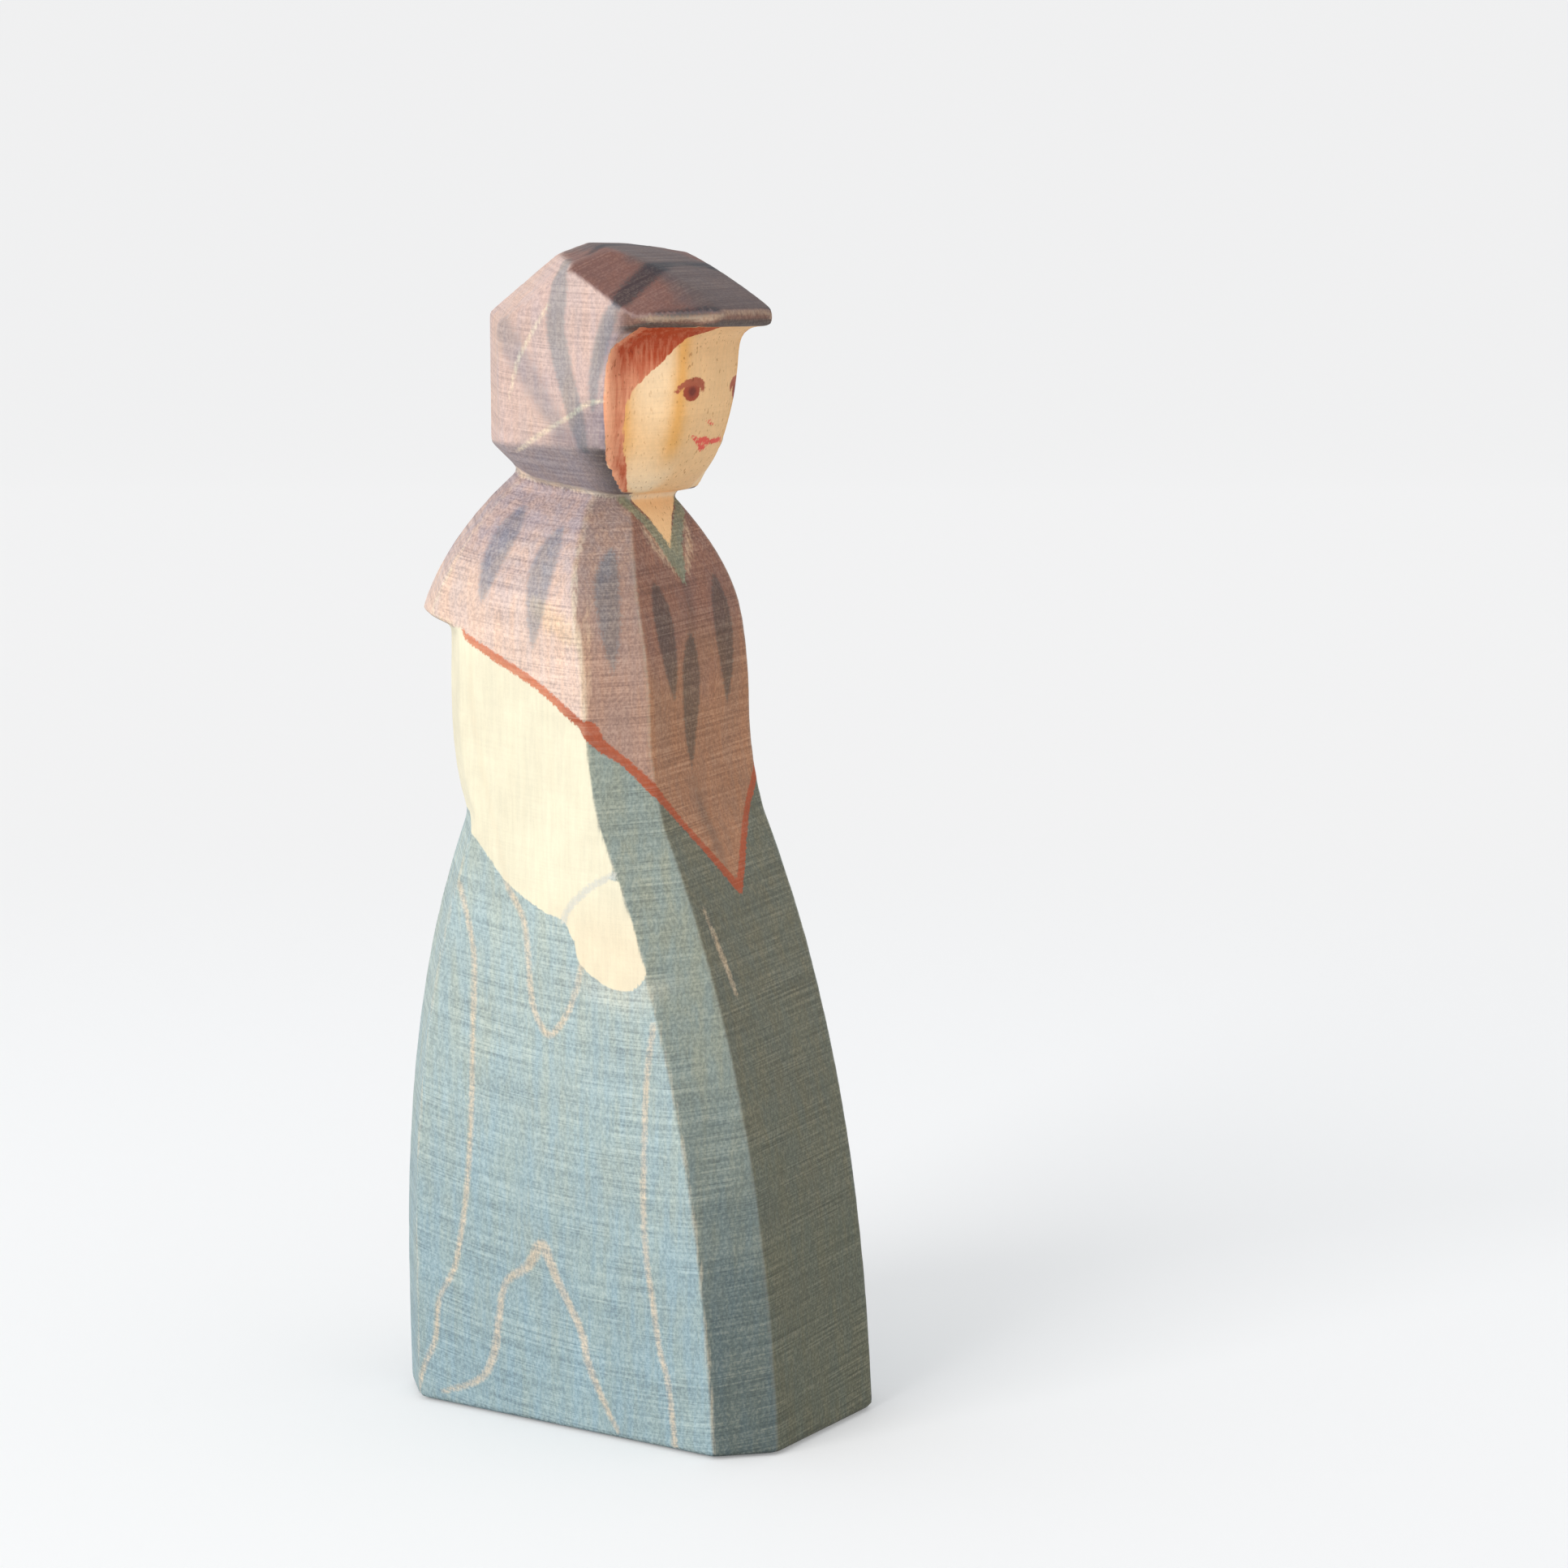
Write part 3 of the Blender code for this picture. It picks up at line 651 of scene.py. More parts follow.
def painted_marks(points, normals):
    """Depth of every painted mark and share of every zone at each point."""
    x, y, z = points.T
    folded = np.stack([-abs(x), y, z], 1)
    return (clothes_marks(points, folded) | head_marks(points)
            | scarf_and_wood_marks(points, folded) | facet_marks(points, normals))


def rows(items, name, width, kind):
    """What a mesh's points, edges or triangles say under a name, one row for each."""
    values = np.empty(len(items) * width, kind)
    items.foreach_get(name, values)
    return values.reshape(-1, width)


def stained_block(node):
    """The visible figure: a fine copy of the frame's block with its painted marks."""
    true_shape = bmesh.new()
    true_shape.from_mesh(node.data)
    bmesh.ops.remove_doubles(true_shape, verts=true_shape.verts, dist=MERGE * MM)
    outer = sharp_edges(true_shape)
    tree = BVHTree.FromBMesh(true_shape)
    block = fine_block(true_shape)
    mesh = block.data
    points = rows(mesh.vertices, "co", 3, float) / MM
    edges = rows(mesh.edges, "vertices", 2, int)
    mesh.calc_loop_triangles()
    triangles = rows(mesh.loop_triangles, "vertices", 3, int)

    points = sand(points, edges, tree, distances_to(points, edge_spots(outer)))
    normals = point_normals(points, triangles)
    depths = knife_depths(points) * blend_step(points[:, 2], *FOOT_CALM)
    points = points - normals * depths[:, None]
    foot = np.clip(1 - points[:, 2] / FOOT_ROUNDING, 0, 1)
    inward = FOOT_ROUNDING * (1 - np.sqrt(1 - foot ** 2))
    points[:, 0] *= 1 - inward / HALF_BOARD
    points[:, 1] *= 1 - inward / HALF_FOOT
    points = np.clip(points, np.array(cad_low) / MM, np.array(cad_high) / MM)
    mesh.vertices.foreach_set("co", (points * MM).ravel())
    mesh.shade_smooth()

    marks = painted_marks(points, normals)
    turns = [(edge, side_turn(edge)) for edge in outer if edge.verts[0].co.z > FOOT_EDGE * MM]
    marks["side_edge"] = distances_to(points, edge_spots(
        [edge for edge, turn in turns if turn < SIDE_TURN]))
    marks["other_edge"] = distances_to(points, edge_spots(
        [edge for edge, turn in turns if SIDE_TURN <= turn < NO_WEAR]))
    true_shape.free()
    for name, values in marks.items():
        layer = mesh.attributes.new(name, "FLOAT", "POINT")
        values = np.clip(values, -DEPTH_LIMIT, DEPTH_LIMIT)
        layer.data.foreach_set("value", values.astype(np.float32))
    return block


# Saw lines and grain: times per millimetre, detail and roughness of the noise, and its limits
SAW_ALONG, SAW_ACROSS = 0.05, 4.0
SAW_NOISE = (3.0, 0.7)
SAW_LIMITS = (0.32, 0.68)
SAW_BEND, SAW_TILT, SAW_LYING = -0.0045, -0.06, 0.9
PATCH_SIZE = (0.25, 0.3)
PATCH_NOISE = (1.0, 0.5)
PATCH_LIMITS = (0.3, 0.7, 0.35, 1.0)
# Sideways, upward, detail, roughness, low limit, high limit
GRAIN = {
    "Fibre": (2.6, 0.22, 3.0, 0.6, 0.34, 0.66),
    "Speck": (3.9, 2.9, 1.0, 0.6, 0.28, 0.72),
    "Pores": (3.3, 1.5, 1.0, 0.6, 0.64, 0.73),
    "Cloud": (0.17, 0.17, 3.0, 0.55, 0.30, 0.70),
    "Warmth": (0.8, 0.09, 3.0, 0.6, 0.32, 0.68),
}

# Stain and painted shade by the turn of a facet, scratches in it, and worn edges
TURN_TO_CORNER = (0.12, 0.32)
TURN_TO_FRONT = (0.66, 0.86)
LINE_SWING, SPECK_SWING = 1.15, 0.85
PALE_SHARE, DARK_SHARE, WOOD_SHARE = 0.55, 0.60, 0.16
PALER = (1.45, 1.45, 1.45)
DARKER = (0.50, 0.50, 0.54)
WORN_RAGGEDNESS = 0.3
WORN_BARE = 0.2    # share of the worn width


# Node wiring

class Wiring:
    """Short ways to place and join shader nodes in one tree."""

    def __init__(self, tree):
        self.tree = tree

    def node(self, kind, **settings):
        made = self.tree.nodes.new(kind)
        for name, value in settings.items():
            setattr(made, name, value)
        return made

    def feed(self, socket, value):
        if isinstance(value, bpy.types.NodeSocket):
            self.tree.links.new(value, socket)
        elif socket.type == "RGBA":
            socket.default_value = (*value, 1.0)
        else:
            socket.default_value = value

    def fed(self, kind, sockets, **settings):
        """The outputs of a new node whose sockets, by name or number, are fed."""
        made = self.node(kind, **settings)
        for socket, value in sockets.items():
            self.feed(made.inputs[socket], value)
        return made.outputs

    def math(self, operation, *values):
        return self.fed("ShaderNodeMath", dict(enumerate(values)), operation=operation)[0]

    def part(self, value, share):
        return self.math("MULTIPLY", value, share)

    def moved(self, value, amount, limit):
        return self.math("MULTIPLY_ADD", value, amount, limit)

    def middled(self, value):
        return self.math("SUBTRACT", value, 0.5)

    def mix(self, share, first, second, blend="MIX"):
        return self.fed("ShaderNodeMix", {"Factor": share, 6: first, 7: second},
                        data_type="RGBA", blend_type=blend)[2]

    def glazed(self, under, glaze):
        """A colour seen through a thin coat of another."""
        return self.mix(1.0, under, glaze, "MULTIPLY")

    def blend(self, share, first, second):
        return self.fed("ShaderNodeMix", {"Factor": share, 2: first, 3: second},
                        data_type="FLOAT")[0]

    def step(self, value, low, high, start=0.0, end=1.0):
        return self.fed("ShaderNodeMapRange",
                        {"Value": value, "From Min": low, "From Max": high, "To Min": start,
                         "To Max": end}, interpolation_type="SMOOTHSTEP")[0]

    def noise(self, vector, detail, roughness):
        return self.fed("ShaderNodeTexNoise",
                        {"Vector": vector, "Scale": 1.0, "Detail": detail,
                         "Roughness": roughness})["Fac"]

    def attribute(self, name):
        return self.node("ShaderNodeAttribute", attribute_name=name).outputs["Fac"]

    def parts(self, vector):
        return tuple(self.fed("ShaderNodeSeparateXYZ", {0: vector}))

    def join(self, x, y, z):
        return self.fed("ShaderNodeCombineXYZ", {0: x, 1: y, 2: z})[0]

    def stretched(self, x, y, z, side, up):
        """The place with its width and depth times side and its height times up."""
        return self.join(self.part(x, side), self.part(y, side), self.part(z, up))

    def seen(self):
        """1 where a surface is seen straight, mirrored or through glass, and 0 where it lights."""
        path = self.node("ShaderNodeLightPath").outputs
        mirrored = self.math("MAXIMUM", path["Is Camera Ray"], path["Is Glossy Ray"])
        return self.math("MAXIMUM", mirrored, path["Is Transmission Ray"])

    def group(self, tree, **values):
        return self.fed("ShaderNodeGroup", values, node_tree=tree)


def add_socket(tree, name, way, default):
    """A socket of a node group: a number, a colour or, with no default, a place."""
    kind = {float: "Float", tuple: "Color"}.get(type(default), "Vector")
    socket = tree.interface.new_socket(name, in_out=way, socket_type="NodeSocket" + kind)
    if default is not None:
        socket.default_value = (*default, 1.0) if kind == "Color" else default


def make_group(name, build, inputs, outputs):
    """A node group with named sockets. Its build function returns the value of each output."""
    tree = bpy.data.node_groups.new(name, "ShaderNodeTree")
    for label, default in inputs.items():
        add_socket(tree, label, "INPUT", default)
    for label, default in outputs.items():
        add_socket(tree, label, "OUTPUT", default)
    wiring = Wiring(tree)
    entry = wiring.node("NodeGroupInput")
    leave = wiring.node("NodeGroupOutput")
    for label, value in zip(outputs, build(wiring, entry.outputs)):
        wiring.feed(leave.inputs[label], value)
    return tree


def brush_mask(w, given):
    """Share of paint from a mark's depth, with an edge as ragged as the given noise."""
    ragged = w.moved(w.middled(given["Noise"]), given["Raggedness"], given["Depth"])
    half = w.part(given["Softness"], 0.5)
    return [w.step(ragged, w.part(half, -1.0), half)]


def saw_lines(w, given):
    """Fine lines left by the saw and the sanding belt: long across, short in height."""
    x, y, z = w.parts(given["Place"])
    bend = w.part(w.part(y, y), given["Bend"])
    tilt = w.part(w.math("ADD", y, x), given["Tilt"])
    lying = w.part(y, given["Lying"])
    level = w.math("ADD", w.math("ADD", z, lying), w.math("ADD", bend, tilt))
    fine = w.noise(w.stretched(x, y, level, SAW_ALONG, SAW_ACROSS), *SAW_NOISE)
    patch = w.noise(w.stretched(x, y, z, *PATCH_SIZE), *PATCH_NOISE)
    return [w.blend(w.step(patch, *PATCH_LIMITS), 0.5, w.step(fine, *SAW_LIMITS))]


def wood_grain(w, given):
    """Upright fibres, fine specks, dark pores, slow clouds and streaks of warmer wood."""
    place = w.parts(given["Place"])
    return [w.step(w.noise(w.stretched(*place, side, up), detail, roughness), low, high)
            for side, up, detail, roughness, low, high in GRAIN.values()]


def facet_stain_and_shade(w, given):
    """One stain as it shows on the flat side, on the cut corner and on the front of the board: the
    corner and front colours are darker, partly as painted shade.
    """
    turn = given["Turn"]
    cut = w.mix(w.step(turn, *TURN_TO_CORNER), given["Side"], given["Corner"])
    return [w.mix(w.step(turn, *TURN_TO_FRONT), cut, given["Front"])]


def scratched(w, given):
    """Lines and specks where the wood shows through the stain, and others that hold more of it."""
    swing = w.part(w.middled(given["Lines"]), LINE_SWING)
    weave = w.part(w.middled(given["Speck"]), SPECK_SWING)
    depth = w.part(w.math("ADD", weave, swing), given["Strength"])
    pale = w.part(w.math("MAXIMUM", depth, 0.0), PALE_SHARE)
    dark = w.part(w.math("MAXIMUM", w.part(depth, -1.0), 0.0), DARK_SHARE)
    paler = w.mix(WOOD_SHARE, w.glazed(given["Colour"], PALER), given["Wood"])
    colour = w.mix(pale, given["Colour"], paler)
    return [w.mix(dark, colour, w.glazed(colour, DARKER))]


def worn_edge(w, given):
    """How bare an edge is, from the distance to it."""
    ragged = w.moved(w.middled(given["Noise"]), WORN_RAGGEDNESS, given["Distance"])
    bare_width = w.part(given["Width"], WORN_BARE)
    return [w.step(ragged, bare_width, given["Width"], 1.0, 0.0)]


def make_groups():
    """The node groups, with the default of each socket."""
    white = (1.0, 1.0, 1.0)
    return {
        "brush": make_group(
            "Brush edge", brush_mask,
            {"Depth": 0.0, "Noise": 0.5, "Raggedness": 0.4, "Softness": 0.2}, {"Mask": 0.0}),
        "saw": make_group(
            "Saw lines", saw_lines,
            {"Place": None, "Bend": 0.0, "Tilt": 0.0, "Lying": 0.0}, {"Lines": 0.0}),
        "grain": make_group("Wood grain", wood_grain, {"Place": None}, dict.fromkeys(GRAIN, 0.0)),
        "facet": make_group(
            "Facet stain and shade", facet_stain_and_shade,
            {"Turn": 0.0, "Side": white, "Corner": white, "Front": white}, {"Colour": white}),
        "scratch": make_group(
            "Scratched stain", scratched,
            {"Colour": white, "Wood": white, "Lines": 0.5, "Speck": 0.5, "Strength": 1.0},
            {"Colour": white}),
        "worn": make_group(
            "Worn edge", worn_edge, {"Distance": 5.0, "Noise": 0.5, "Width": 0.5},
            {"Bare": 0.0}),
    }


# Colours of wood and stain in full light on the flat sides. Three colours are: side, cut corner,
# front; the cut corner and front ones are darker, partly as painted shade.
WOOD = (0.90, 0.76, 0.56)
RING = (0.82, 0.59, 0.38)
SKIRT_HIGH = ((0.44, 0.53, 0.51), (0.30, 0.34, 0.29), (0.165, 0.165, 0.118))
SKIRT_LOW = ((0.31, 0.42, 0.445), (0.115, 0.15, 0.145), (0.125, 0.132, 0.090))
SHAWL_HIGH = ((0.465, 0.35, 0.345), (0.36, 0.24, 0.20), (0.29, 0.137, 0.094))
SHAWL_LOW = ((0.80, 0.59, 0.49), (0.455, 0.27, 0.20), (0.42, 0.206, 0.113))
SCARF = ((0.70, 0.505, 0.43), (0.66, 0.48, 0.44), (0.60, 0.42, 0.34))
SCARF_LILAC = (0.80, 0.82, 0.93)
CROWN_BROWN = (0.195, 0.092, 0.075)
CROWN_GREY = (0.125, 0.090, 0.088)
BRIM_BROWN = (0.225, 0.115, 0.085)
# Painted shade on the lower edge of the brim
BRIM_EDGE_SHADE = (0.11, 0.075, 0.063)
BRIM_PALE = (0.62, 0.45, 0.31)
# Painted shade on the facets under the jaw, darkest at the front
JAW_SHADE_GREY = (0.36, 0.30, 0.31)
JAW_SHADE_DARK = (0.055, 0.042, 0.036)
# Blue-grey glaze of painted shade, used low on the scarf and under the brim
SCARF_SHADE_BLUE = (0.52, 0.56, 0.66)
# Bare wood under the ledge, darkened as painted shade
LEDGE_SHADED_WOOD = (0.40, 0.30, 0.25)
HALO = (0.66, 0.66, 0.56)
CREAM = (0.885, 0.815, 0.61)
HAND_CREAM = (0.90, 0.78, 0.565)
# Skin on the cheeks, a darker front copy as painted shade, and a saturated orange band of painted
# shade at the turn between them
SKIN = (0.975, 0.73, 0.46)
SKIN_YELLOW_SHADE = (0.90, 0.45, 0.12)
SKIN_FRONT_SHADE = (0.96, 0.60, 0.295)
HAIR_LIGHT = (1.0, 0.46, 0.26)
HAIR_DARK = (0.45, 0.058, 0.011)
BLUE_GLAZE = (0.56, 0.67, 0.79)
CORNER_GLAZE = (0.52, 0.75, 0.96)
BORDER_RED = (0.66, 0.20, 0.095)
BORDER_DARK = (0.44, 0.088, 0.03)
COOL_TINT = (0.90, 0.98, 1.07)
WARM_TINT = (1.10, 1.02, 0.91)
PORE_DARK = (0.55, 0.42, 0.30)

# How each mark was put on: raggedness and softness of its edge, broken up by fibres or by specks
FIBRE_BRUSH = {
    "arm": (0.08, 0.16), "shawl": (0.15, 0.2), "scarf": (0.12, 0.2), "skin": (0.1, 0.1),
    "neck": (0.15, 0.15), "hair": (0.3, 0.2), "bare": (0.7, 1.2), "brim_shade": (0.2, 1.6),
}
SPECK_BRUSH = {
    "brim_line": (0.12, 0.7), "rings": (0.15, 0.5), "head_rings": (0.06, 0.35),
    "side_drops": (0.4, 0.6), "front_drops": (0.35, 0.45), "stripes": (0.3, 0.5),
    "crown_stripes_and_shade": (0.4, 0.8), "faint_stripes": (0.6, 1.4), "collar": (0.3, 0.35),
    "border": (0.2, 0.2), "cuff": (0.15, 0.3), "eyes": (0.1, 0.18), "pupils": (0.1, 0.5),
    "lids": (0.12, 0.18), "mouth": (0.25, 0.2),
}
# Thin paint, one after the other: mark, share and glaze. The crown's stripes carry painted shade
# too.
GLAZES = (("front_drops", 1.0, (0.48, 0.59, 0.69)), ("stripes", 1.0, (0.63, 0.74, 0.80)),
          ("crown_stripes_and_shade", 1.0, (0.30, 0.385, 0.50)), ("faint_stripes", 0.65, BLUE_GLAZE))
# Thick paint, one after the other: mark, share and colour
PAINTS = (("collar", 0.88, (0.25, 0.255, 0.165)), ("cuff", 0.75, (0.68, 0.67, 0.60)),
          ("eyes", 1.0, (0.40, 0.072, 0.033)), ("pupils", 1.0, (0.20, 0.036, 0.022)),
          ("lids", 1.0, (0.46, 0.115, 0.055)), ("mouth", 0.95, (0.86, 0.09, 0.065)))

# Where one look passes into the next, in height, width, depth or turn
FADES = {
    "skirt": (50.0, -2.0), "shawl": (97.5, 84.0), "crown": (8.4, 5.4), "brim": (111.80, 111.40),
    "jaw": (-4.4, 0.8), "hand": (57.6, 50.0), "skin": (0.62, 0.88), "turn_in": (0.38, 0.60),
    "turn_out": (0.90, 0.62), "chin": (95.5, 100.5), "groove": (0.10, 0.45, 1.0, 0.0),
    "cut": (0.1, 0.4), "border": (1.0, -3.0), "dots": (0.3, 0.7, 0.15, 0.70),
    "foot": (1.0, 0.2, 1.0, 0.55),
}
# How strongly a look shows
SHARES = {
    "ledge": 0.85, "lilac": 0.55, "scarf_shade": 0.85, "brim_shade": 0.6, "brim_line": 0.70,
    "under_jaw": 0.9, "yellow_shade": 0.95, "head_rings": 0.70, "bare": 0.5, "halo": 0.45,
    "groove": 0.45, "tint": 0.45, "side_drops": 0.97, "corner_drops": 0.80, "sleeve_rings": 0.2,
    "rings": 0.85,
}
# How much a cloud, a speck, a fibre, a line or the turn of a facet moves a limit
CLOUD_IN_SKIRT, CLOUD_IN_SHAWL, CLOUD_IN_CROWN = -12.0, 5.0, 2.5
TURN_IN_SHAWL, TURN_IN_BRIM = 9.0, -0.7
FIBRE_IN_HAIR, SPECK_IN_GROOVE, SPECK_IN_FOOT = 0.35, 0.14, 0.3
LINES_IN_RINGS = (0.3, 0.46)
LINES_IN_BORDER = (-0.2, 1.0)

# How much the scratches show in each zone
SCRATCHES = {"skirt": 1.3, "sleeve": 0.10, "scarf": 0.95, "crown": 0.7, "skin": 0.22,
             "hair": 0.25, "border": 0.4}
SHAWL_SCRATCHES = (84.0, 92.0, 1.25, 1.6)

# Worn edges on the skirt and on the shawl: their widths, and how bare they are
SIDE_WIDTHS, SIDE_WEAR = (0.40, 0.50), (0.25, 0.55)
OTHER_WIDTH, OTHER_WEAR = 0.42, (0.08, 0.24)
LOW_WEAR = (93.0, 85.0, 0.25, 1.0)

# Gloss and fine relief
CLOUD_LIGHT = (0.94, 1.04)
FIBRE_LIGHT = (0.965, 1.02)
ROUGHNESS = (0.68, 0.56)
SHINE = 0.35
RELIEF = 0.45
RELIEF_DEPTH = 0.00005    # metres
RELIEF_BY_STRENGTH = (0.8, 0.2)


class FigureWood(Wiring):
    """Wiring of the figure's wood: what is known at each place, and ways to lay colour on it."""

    def __init__(self, tree, groups):
        super().__init__(tree)
        self.groups = groups
        self.place = self.fed("ShaderNodeVectorMath",
                              {0: self.node("ShaderNodeTexCoord").outputs["Object"],
                               "Scale": 1 / MM}, operation="SCALE")["Vector"]
        self.x, self.y, self.height = self.parts(self.place)
        self.turn, self.crown = self.attribute("turn"), self.attribute("crown")
        grain = self.group(groups["grain"], Place=self.place)
        self.fibre, self.speck, self.pores, self.cloud, self.warmth = (
            grain[name] for name in GRAIN)
        self.lines = self.group(groups["saw"], Place=self.place, Bend=SAW_BEND, Tilt=SAW_TILT,
                                Lying=self.part(self.crown, SAW_LYING))["Lines"]
        self.arm, self.shawl, self.scarf, self.hair = map(
            self.mask, ("arm", "shawl", "scarf", "hair"))
        self.skin = self.math("MAXIMUM", self.mask("skin"), self.mask("neck"))

    def mask(self, name):
        """Share of the paint of one mark."""
        pattern = self.fibre if name in FIBRE_BRUSH else self.speck
        raggedness, softness = (FIBRE_BRUSH | SPECK_BRUSH)[name]
        return self.group(self.groups["brush"], Depth=self.attribute(name), Noise=pattern,
                          Raggedness=raggedness, Softness=softness)["Mask"]

    # Stain by facet: its cut corner and front colours are darker, partly as painted shade
    def stain(self, colours):
        side, corner, front = colours
        return self.group(self.groups["facet"], Turn=self.turn, Side=side, Corner=corner,
                          Front=front)["Colour"]

    def fade(self, value, name):
        return self.step(value, *FADES[name])


def skirt_stain(w):
    low = w.fade(w.moved(w.cloud, CLOUD_IN_SKIRT, w.height), "skirt")
    return w.mix(low, w.stain(SKIRT_HIGH), w.stain(SKIRT_LOW))


def shawl_stain(w):
    """Paler towards the hem, with the bare underside of the ledge at the back darkened as painted
    shade.
    """
    clouded = w.moved(w.cloud, CLOUD_IN_SHAWL, w.height)
    low = w.fade(w.moved(w.turn, TURN_IN_SHAWL, clouded), "shawl")
    shawl = w.mix(low, w.stain(SHAWL_HIGH), w.stain(SHAWL_LOW))
    return w.mix(w.part(w.attribute("ledge"), SHARES["ledge"]), shawl, LEDGE_SHADED_WOOD)


def scarf_stain(w):
    """Lilac clouds, a brown crown and brim, and painted shade: blue on the scarf, dark on the
    brim's foot and under the jaw.
    """
    scarf = w.stain(SCARF)
    # The lilac clouds are the stain's own; the scarf_shade and brim_shade glazes are painted shade
    for share, name, glaze in ((w.cloud, "lilac", SCARF_LILAC),
                               (w.attribute("scarf_shade"), "scarf_shade", SCARF_SHADE_BLUE),
                               (w.mask("brim_shade"), "brim_shade", SCARF_SHADE_BLUE)):
        scarf = w.mix(w.part(share, SHARES[name]), scarf, w.glazed(scarf, glaze))
    top = w.fade(w.moved(w.cloud, CLOUD_IN_CROWN, w.math("ABSOLUTE", w.x)), "crown")
    scarf = w.mix(w.crown, scarf, w.mix(top, CROWN_BROWN, CROWN_GREY))
    brim = w.attribute("brim")
    # The brim's lower edge is darkened as painted shade
    brim_low_shade = w.fade(w.moved(w.turn, TURN_IN_BRIM, w.height), "brim")
    scarf = w.mix(brim, scarf, w.mix(brim_low_shade, BRIM_BROWN, BRIM_EDGE_SHADE))
    brim_line = w.part(w.mask("brim_line"), w.part(brim, SHARES["brim_line"]))
    scarf = w.mix(brim_line, scarf, BRIM_PALE)
    # Painted shade on the downward facets under the jaw, darker towards the front
    return w.mix(w.part(w.attribute("under_jaw"), SHARES["under_jaw"]), scarf,
                 w.mix(w.fade(w.y, "jaw"), JAW_SHADE_DARK, JAW_SHADE_GREY))


def face_skin(w):
    """Pale skin, darker and warmer on the front as painted shade, and a saturated orange band of
    painted shade along the soft turn from the cheek to the front.
    """
    soft_turn = w.part(w.fade(w.turn, "turn_in"), w.fade(w.turn, "turn_out"))
    yellow_shade = w.part(w.part(soft_turn, w.fade(w.height, "chin")), SHARES["yellow_shade"])
    return w.mix(yellow_shade, w.mix(w.fade(w.turn, "skin"), SKIN, SKIN_FRONT_SHADE), SKIN_YELLOW_SHADE)


# Hair paint, darker where hair_shade lays painted shade
def painted_hair(w):
    streaks = w.moved(w.middled(w.fibre), FIBRE_IN_HAIR, w.attribute("hair_shade"))
    return w.mix(streaks, HAIR_LIGHT, HAIR_DARK)


def stained_zones(w):
    """Colour of the zones, each over the ones before it, and how much the scratches show."""
    cream = w.mix(w.fade(w.height, "hand"), CREAM, HAND_CREAM)
    colour, strength = skirt_stain(w), SCRATCHES["skirt"]
    for zone, stain, scratches in (
            (w.arm, cream, SCRATCHES["sleeve"]),
            (w.shawl, shawl_stain(w), w.step(w.height, *SHAWL_SCRATCHES)),
            (w.scarf, scarf_stain(w), w.blend(w.crown, SCRATCHES["scarf"], SCRATCHES["crown"])),
            (w.skin, face_skin(w), SCRATCHES["skin"]),
            (w.hair, painted_hair(w), SCRATCHES["hair"])):
        colour = w.mix(zone, colour, stain)
        strength = w.blend(zone, strength, scratches)
    return colour, strength


def worn_share(w):
    """How bare the edges of the skirt and the shawl are."""
    low = w.step(w.height, *LOW_WEAR)
    worn = []
    for name, pattern, width, wear in (
            ("side_edge", w.fibre, w.blend(w.shawl, *SIDE_WIDTHS), SIDE_WEAR),
            ("other_edge", w.speck, OTHER_WIDTH, OTHER_WEAR)):
        bared = w.group(w.groups["worn"], Distance=w.attribute(name), Noise=pattern,
                        Width=width)["Bare"]
        on_clothes = w.blend(w.scarf, w.blend(w.shawl, *wear), 0.0)
        worn.append(w.part(bared, w.part(on_clothes, low)))
    return w.math("MAXIMUM", *worn)


def with_bare_wood(w, colour):
    """Growth rings, patches, the pale skirt by the hand, worn edges and the cut round the neck."""
    sleeve = w.part(w.arm, w.math("SUBTRACT", 1.0, w.shawl))
    unstained = w.math("MAXIMUM", sleeve, w.math("MAXIMUM", w.skin, w.hair))
    stained = w.math("SUBTRACT", 1.0, unstained)
    rings = w.part(w.part(w.mask("rings"), w.moved(w.lines, *LINES_IN_RINGS)),
                   w.blend(stained, SHARES["sleeve_rings"], SHARES["rings"]))
    halo = w.part(w.attribute("halo"), w.blend(w.arm, SHARES["halo"], 0.0))
    groove = w.moved(w.middled(w.speck), SPECK_IN_GROOVE, w.attribute("groove"))
    cut_line = w.fade(w.math("ABSOLUTE", groove), "groove")
    for share, wood in ((rings, RING), (w.part(w.mask("head_rings"), SHARES["head_rings"]), WOOD),
                        (w.part(w.mask("bare"), SHARES["bare"]), RING), (halo, HALO),
                        (w.part(worn_share(w), stained), WOOD),
                        (w.part(cut_line, SHARES["groove"]), WOOD)):
        colour = w.mix(share, colour, wood)
    return colour


def with_marks(w, colour, strength):
    """Drops, stripes and border of the shawl and the scarf, cuff, eyes and mouth."""
    cut = w.fade(w.turn, "cut")
    side_drops = w.part(w.mask("side_drops"),
                        w.blend(cut, SHARES["side_drops"], SHARES["corner_drops"]))
    colour = w.mix(side_drops, colour, w.glazed(colour, w.mix(cut, BLUE_GLAZE, CORNER_GLAZE)))
    for name, share, glaze in GLAZES:
        colour = w.mix(w.part(w.mask(name), share), colour, w.glazed(colour, glaze))
    border = w.part(w.mask("border"), w.moved(w.lines, *LINES_IN_BORDER))
    colour = w.mix(border, colour, w.mix(w.fade(w.y, "border"), BORDER_RED, BORDER_DARK))
    for name, share, paint in PAINTS:
        colour = w.mix(w.part(w.mask(name), share), colour, paint)
    return colour, w.blend(border, strength, SCRATCHES["border"])


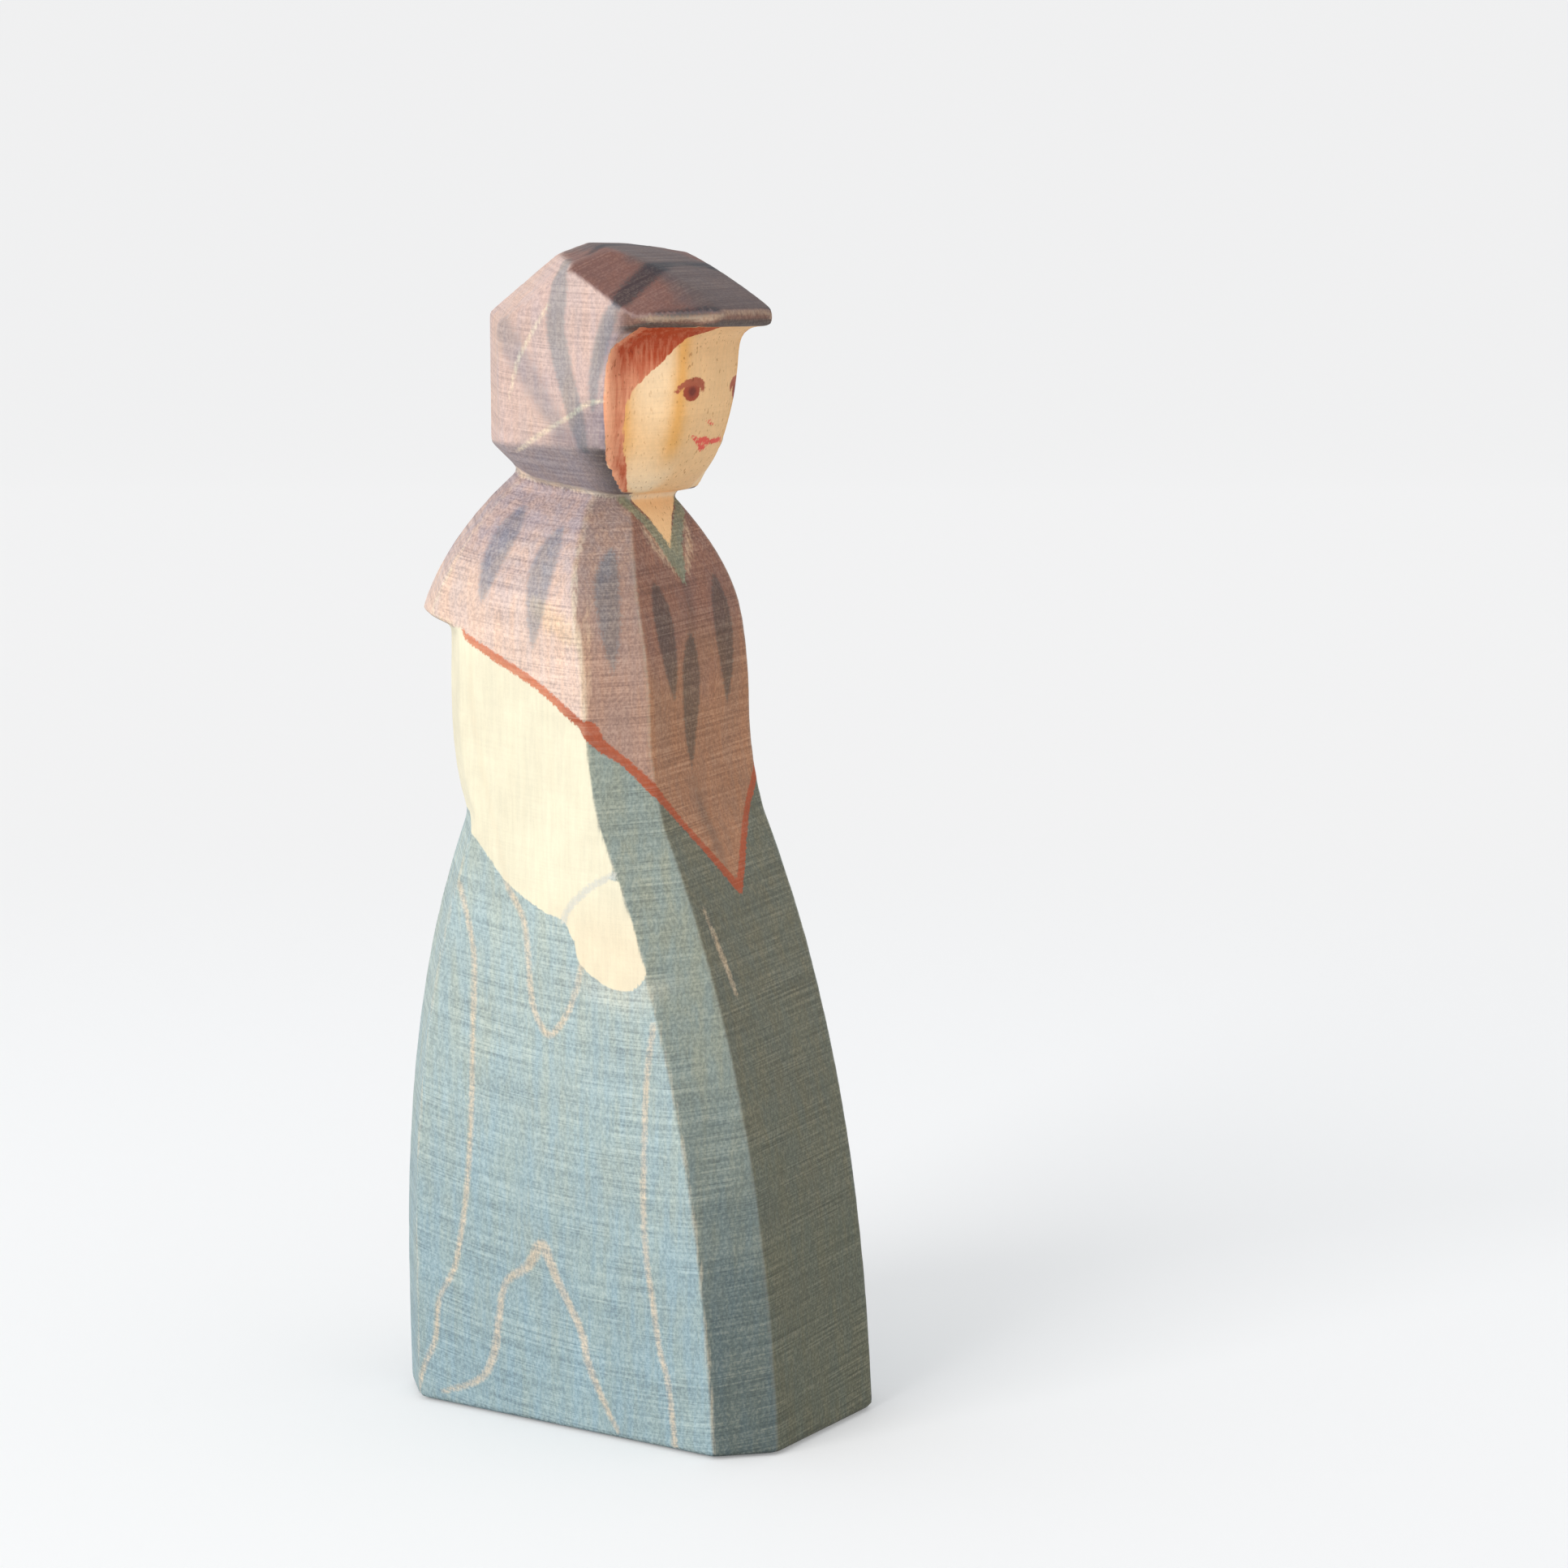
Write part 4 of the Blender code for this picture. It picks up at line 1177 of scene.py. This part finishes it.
def with_scratches(w, colour, strength):
    """Scratches, pores and clouds, painted shade at the foot, and cooler and warmer streaks."""
    colour = w.group(w.groups["scratch"], Colour=colour, Wood=WOOD, Lines=w.lines,
                     Speck=w.speck, Strength=strength)["Colour"]
    dots = w.part(w.pores, w.part(w.skin, w.fade(w.turn, "dots")))
    colour = w.mix(dots, colour, w.glazed(colour, PORE_DARK))
    # Painted shade darkening the lowest millimetre of the foot, where it meets the floor
    foot = w.fade(w.moved(w.speck, SPECK_IN_FOOT, w.height), "foot")
    shade = w.part(w.part(w.blend(w.cloud, *CLOUD_LIGHT), foot), w.blend(w.fibre, *FIBRE_LIGHT))
    colour = w.glazed(colour, w.join(shade, shade, shade))
    tint = w.mix(w.warmth, COOL_TINT, WARM_TINT)
    return w.mix(w.part(strength, SHARES["tint"]), colour, w.glazed(colour, tint))


def wood_material(groups):
    """Stained and painted wood, laid on in the order in which the maker worked."""
    made = bpy.data.materials.new("stained_wood")
    made.use_nodes = True
    made.node_tree.nodes.clear()
    w = FigureWood(made.node_tree, groups)
    colour, strength = stained_zones(w)
    colour, strength = with_marks(w, with_bare_wood(w, colour), strength)
    relief = w.part(w.math("ADD", w.lines, w.speck), w.moved(strength, *RELIEF_BY_STRENGTH))
    bump = w.fed("ShaderNodeBump",
                 {"Strength": RELIEF, "Distance": RELIEF_DEPTH, "Height": relief})
    shader = w.fed("ShaderNodeBsdfPrincipled",
                   {"Base Color": with_scratches(w, colour, strength),
                    "Roughness": w.blend(w.lines, *ROUGHNESS), "Specular IOR Level": SHINE,
                    "Normal": bump[0]})
    w.fed("ShaderNodeOutputMaterial", {0: shader[0]})
    return made


# Floor, light and camera

def floor_material():
    """Pale paper, which the camera sees a little brighter than it lights the figure."""
    paper = bpy.data.materials.new("floor_paper")
    paper.use_nodes = True
    w = Wiring(paper.node_tree)
    shader = paper.node_tree.nodes["Principled BSDF"]
    seen = w.seen()
    away = w.fed("ShaderNodeVectorMath", {0: w.node("ShaderNodeTexCoord").outputs["Object"]},
                 operation="LENGTH")["Value"]
    far = w.step(away, *NEAR_FIGURE)
    w.feed(shader.inputs["Base Color"],
           w.mix(seen, FLOOR_COLOUR, w.mix(far, FLOOR_SEEN, FAR_SEEN)))
    w.feed(shader.inputs["Emission Color"], w.mix(far, FLOOR_LIFT, FAR_LIFT))
    w.feed(shader.inputs["Emission Strength"], seen)
    shader.inputs["Roughness"].default_value = FLOOR_ROUGHNESS
    shader.inputs["Specular IOR Level"].default_value = FLOOR_SHINE
    return paper


def make_floor():
    """A plain floor that sweeps up into a backdrop."""
    bm = bmesh.new()
    profile = [(FLOOR_FRONT, 0.0)]
    for step in range(SWEEP_STEPS + 1):
        turn = math.radians(90 * step / SWEEP_STEPS)
        profile.append((FLOOR_BACK + SWEEP_RADIUS * math.sin(turn),
                        SWEEP_RADIUS * (1 - math.cos(turn))))
    profile.append((FLOOR_BACK + SWEEP_RADIUS, WALL_HEIGHT))
    verts = [bm.verts.new((-FLOOR_HALF_WIDTH, y, z)) for y, z in profile]
    edges = [bm.edges.new(pair) for pair in zip(verts, verts[1:])]
    grown = bmesh.ops.extrude_edge_only(bm, edges=edges)
    moved = [item for item in grown["geom"] if isinstance(item, bmesh.types.BMVert)]
    bmesh.ops.translate(bm, verts=moved, vec=(2 * FLOOR_HALF_WIDTH, 0, 0))
    turn = Matrix.Rotation(math.atan2(-CAMERA_FORWARD[0], CAMERA_FORWARD[1]), 4, "Z")
    bmesh.ops.transform(bm, matrix=turn, verts=bm.verts)
    bmesh.ops.recalc_face_normals(bm, faces=bm.faces)
    for face in bm.faces:
        face.smooth = True
    mesh = bpy.data.meshes.new("floor")
    bm.to_mesh(mesh)
    bm.free()
    floor = add_object("floor", mesh)
    mesh.materials.append(floor_material())


def make_light():
    """One window high on the figure's right, and an even pale room."""
    lamp = bpy.data.lights.new("window", "AREA")
    lamp.shape = "SQUARE"
    lamp.size = KEY_SIZE
    lamp.energy = KEY_POWER
    lamp.color = KEY_COLOUR
    window = add_object("window", lamp)
    window.location = KEY_PLACE
    aim = Vector(KEY_AIM) - Vector(KEY_PLACE)
    window.rotation_euler = aim.to_track_quat("-Z", "Y").to_euler()
    world = bpy.data.worlds.new("room")
    world.use_nodes = True
    w = Wiring(world.node_tree)
    sky = world.node_tree.nodes["Background"]
    seen = w.seen()
    w.feed(sky.inputs["Color"], w.mix(seen, SKY_COLOUR, BACKDROP))
    w.feed(sky.inputs["Strength"], w.blend(seen, SKY_STRENGTH, 1.0))
    bpy.context.scene.world = world


def make_camera():
    """The camera at the place and angle from which the photo was taken."""
    lens = bpy.data.cameras.new("camera")
    lens.lens = CAMERA_LENS
    lens.sensor_width = CAMERA_SENSOR
    lens.clip_start = CAMERA_NEAR
    camera = add_object("camera", lens)
    camera.location = CAMERA_PLACE
    camera.rotation_euler = Vector(CAMERA_FORWARD).to_track_quat("-Z", "Y").to_euler()
    bpy.context.scene.camera = camera
    bpy.context.scene.view_settings.view_transform = "Standard"


block = stained_block(frame["nodes"]["carved_figure"])
block.data.materials.append(wood_material(make_groups()))
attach(block, "root")
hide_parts("carved_figure")
make_floor()
make_light()
make_camera()
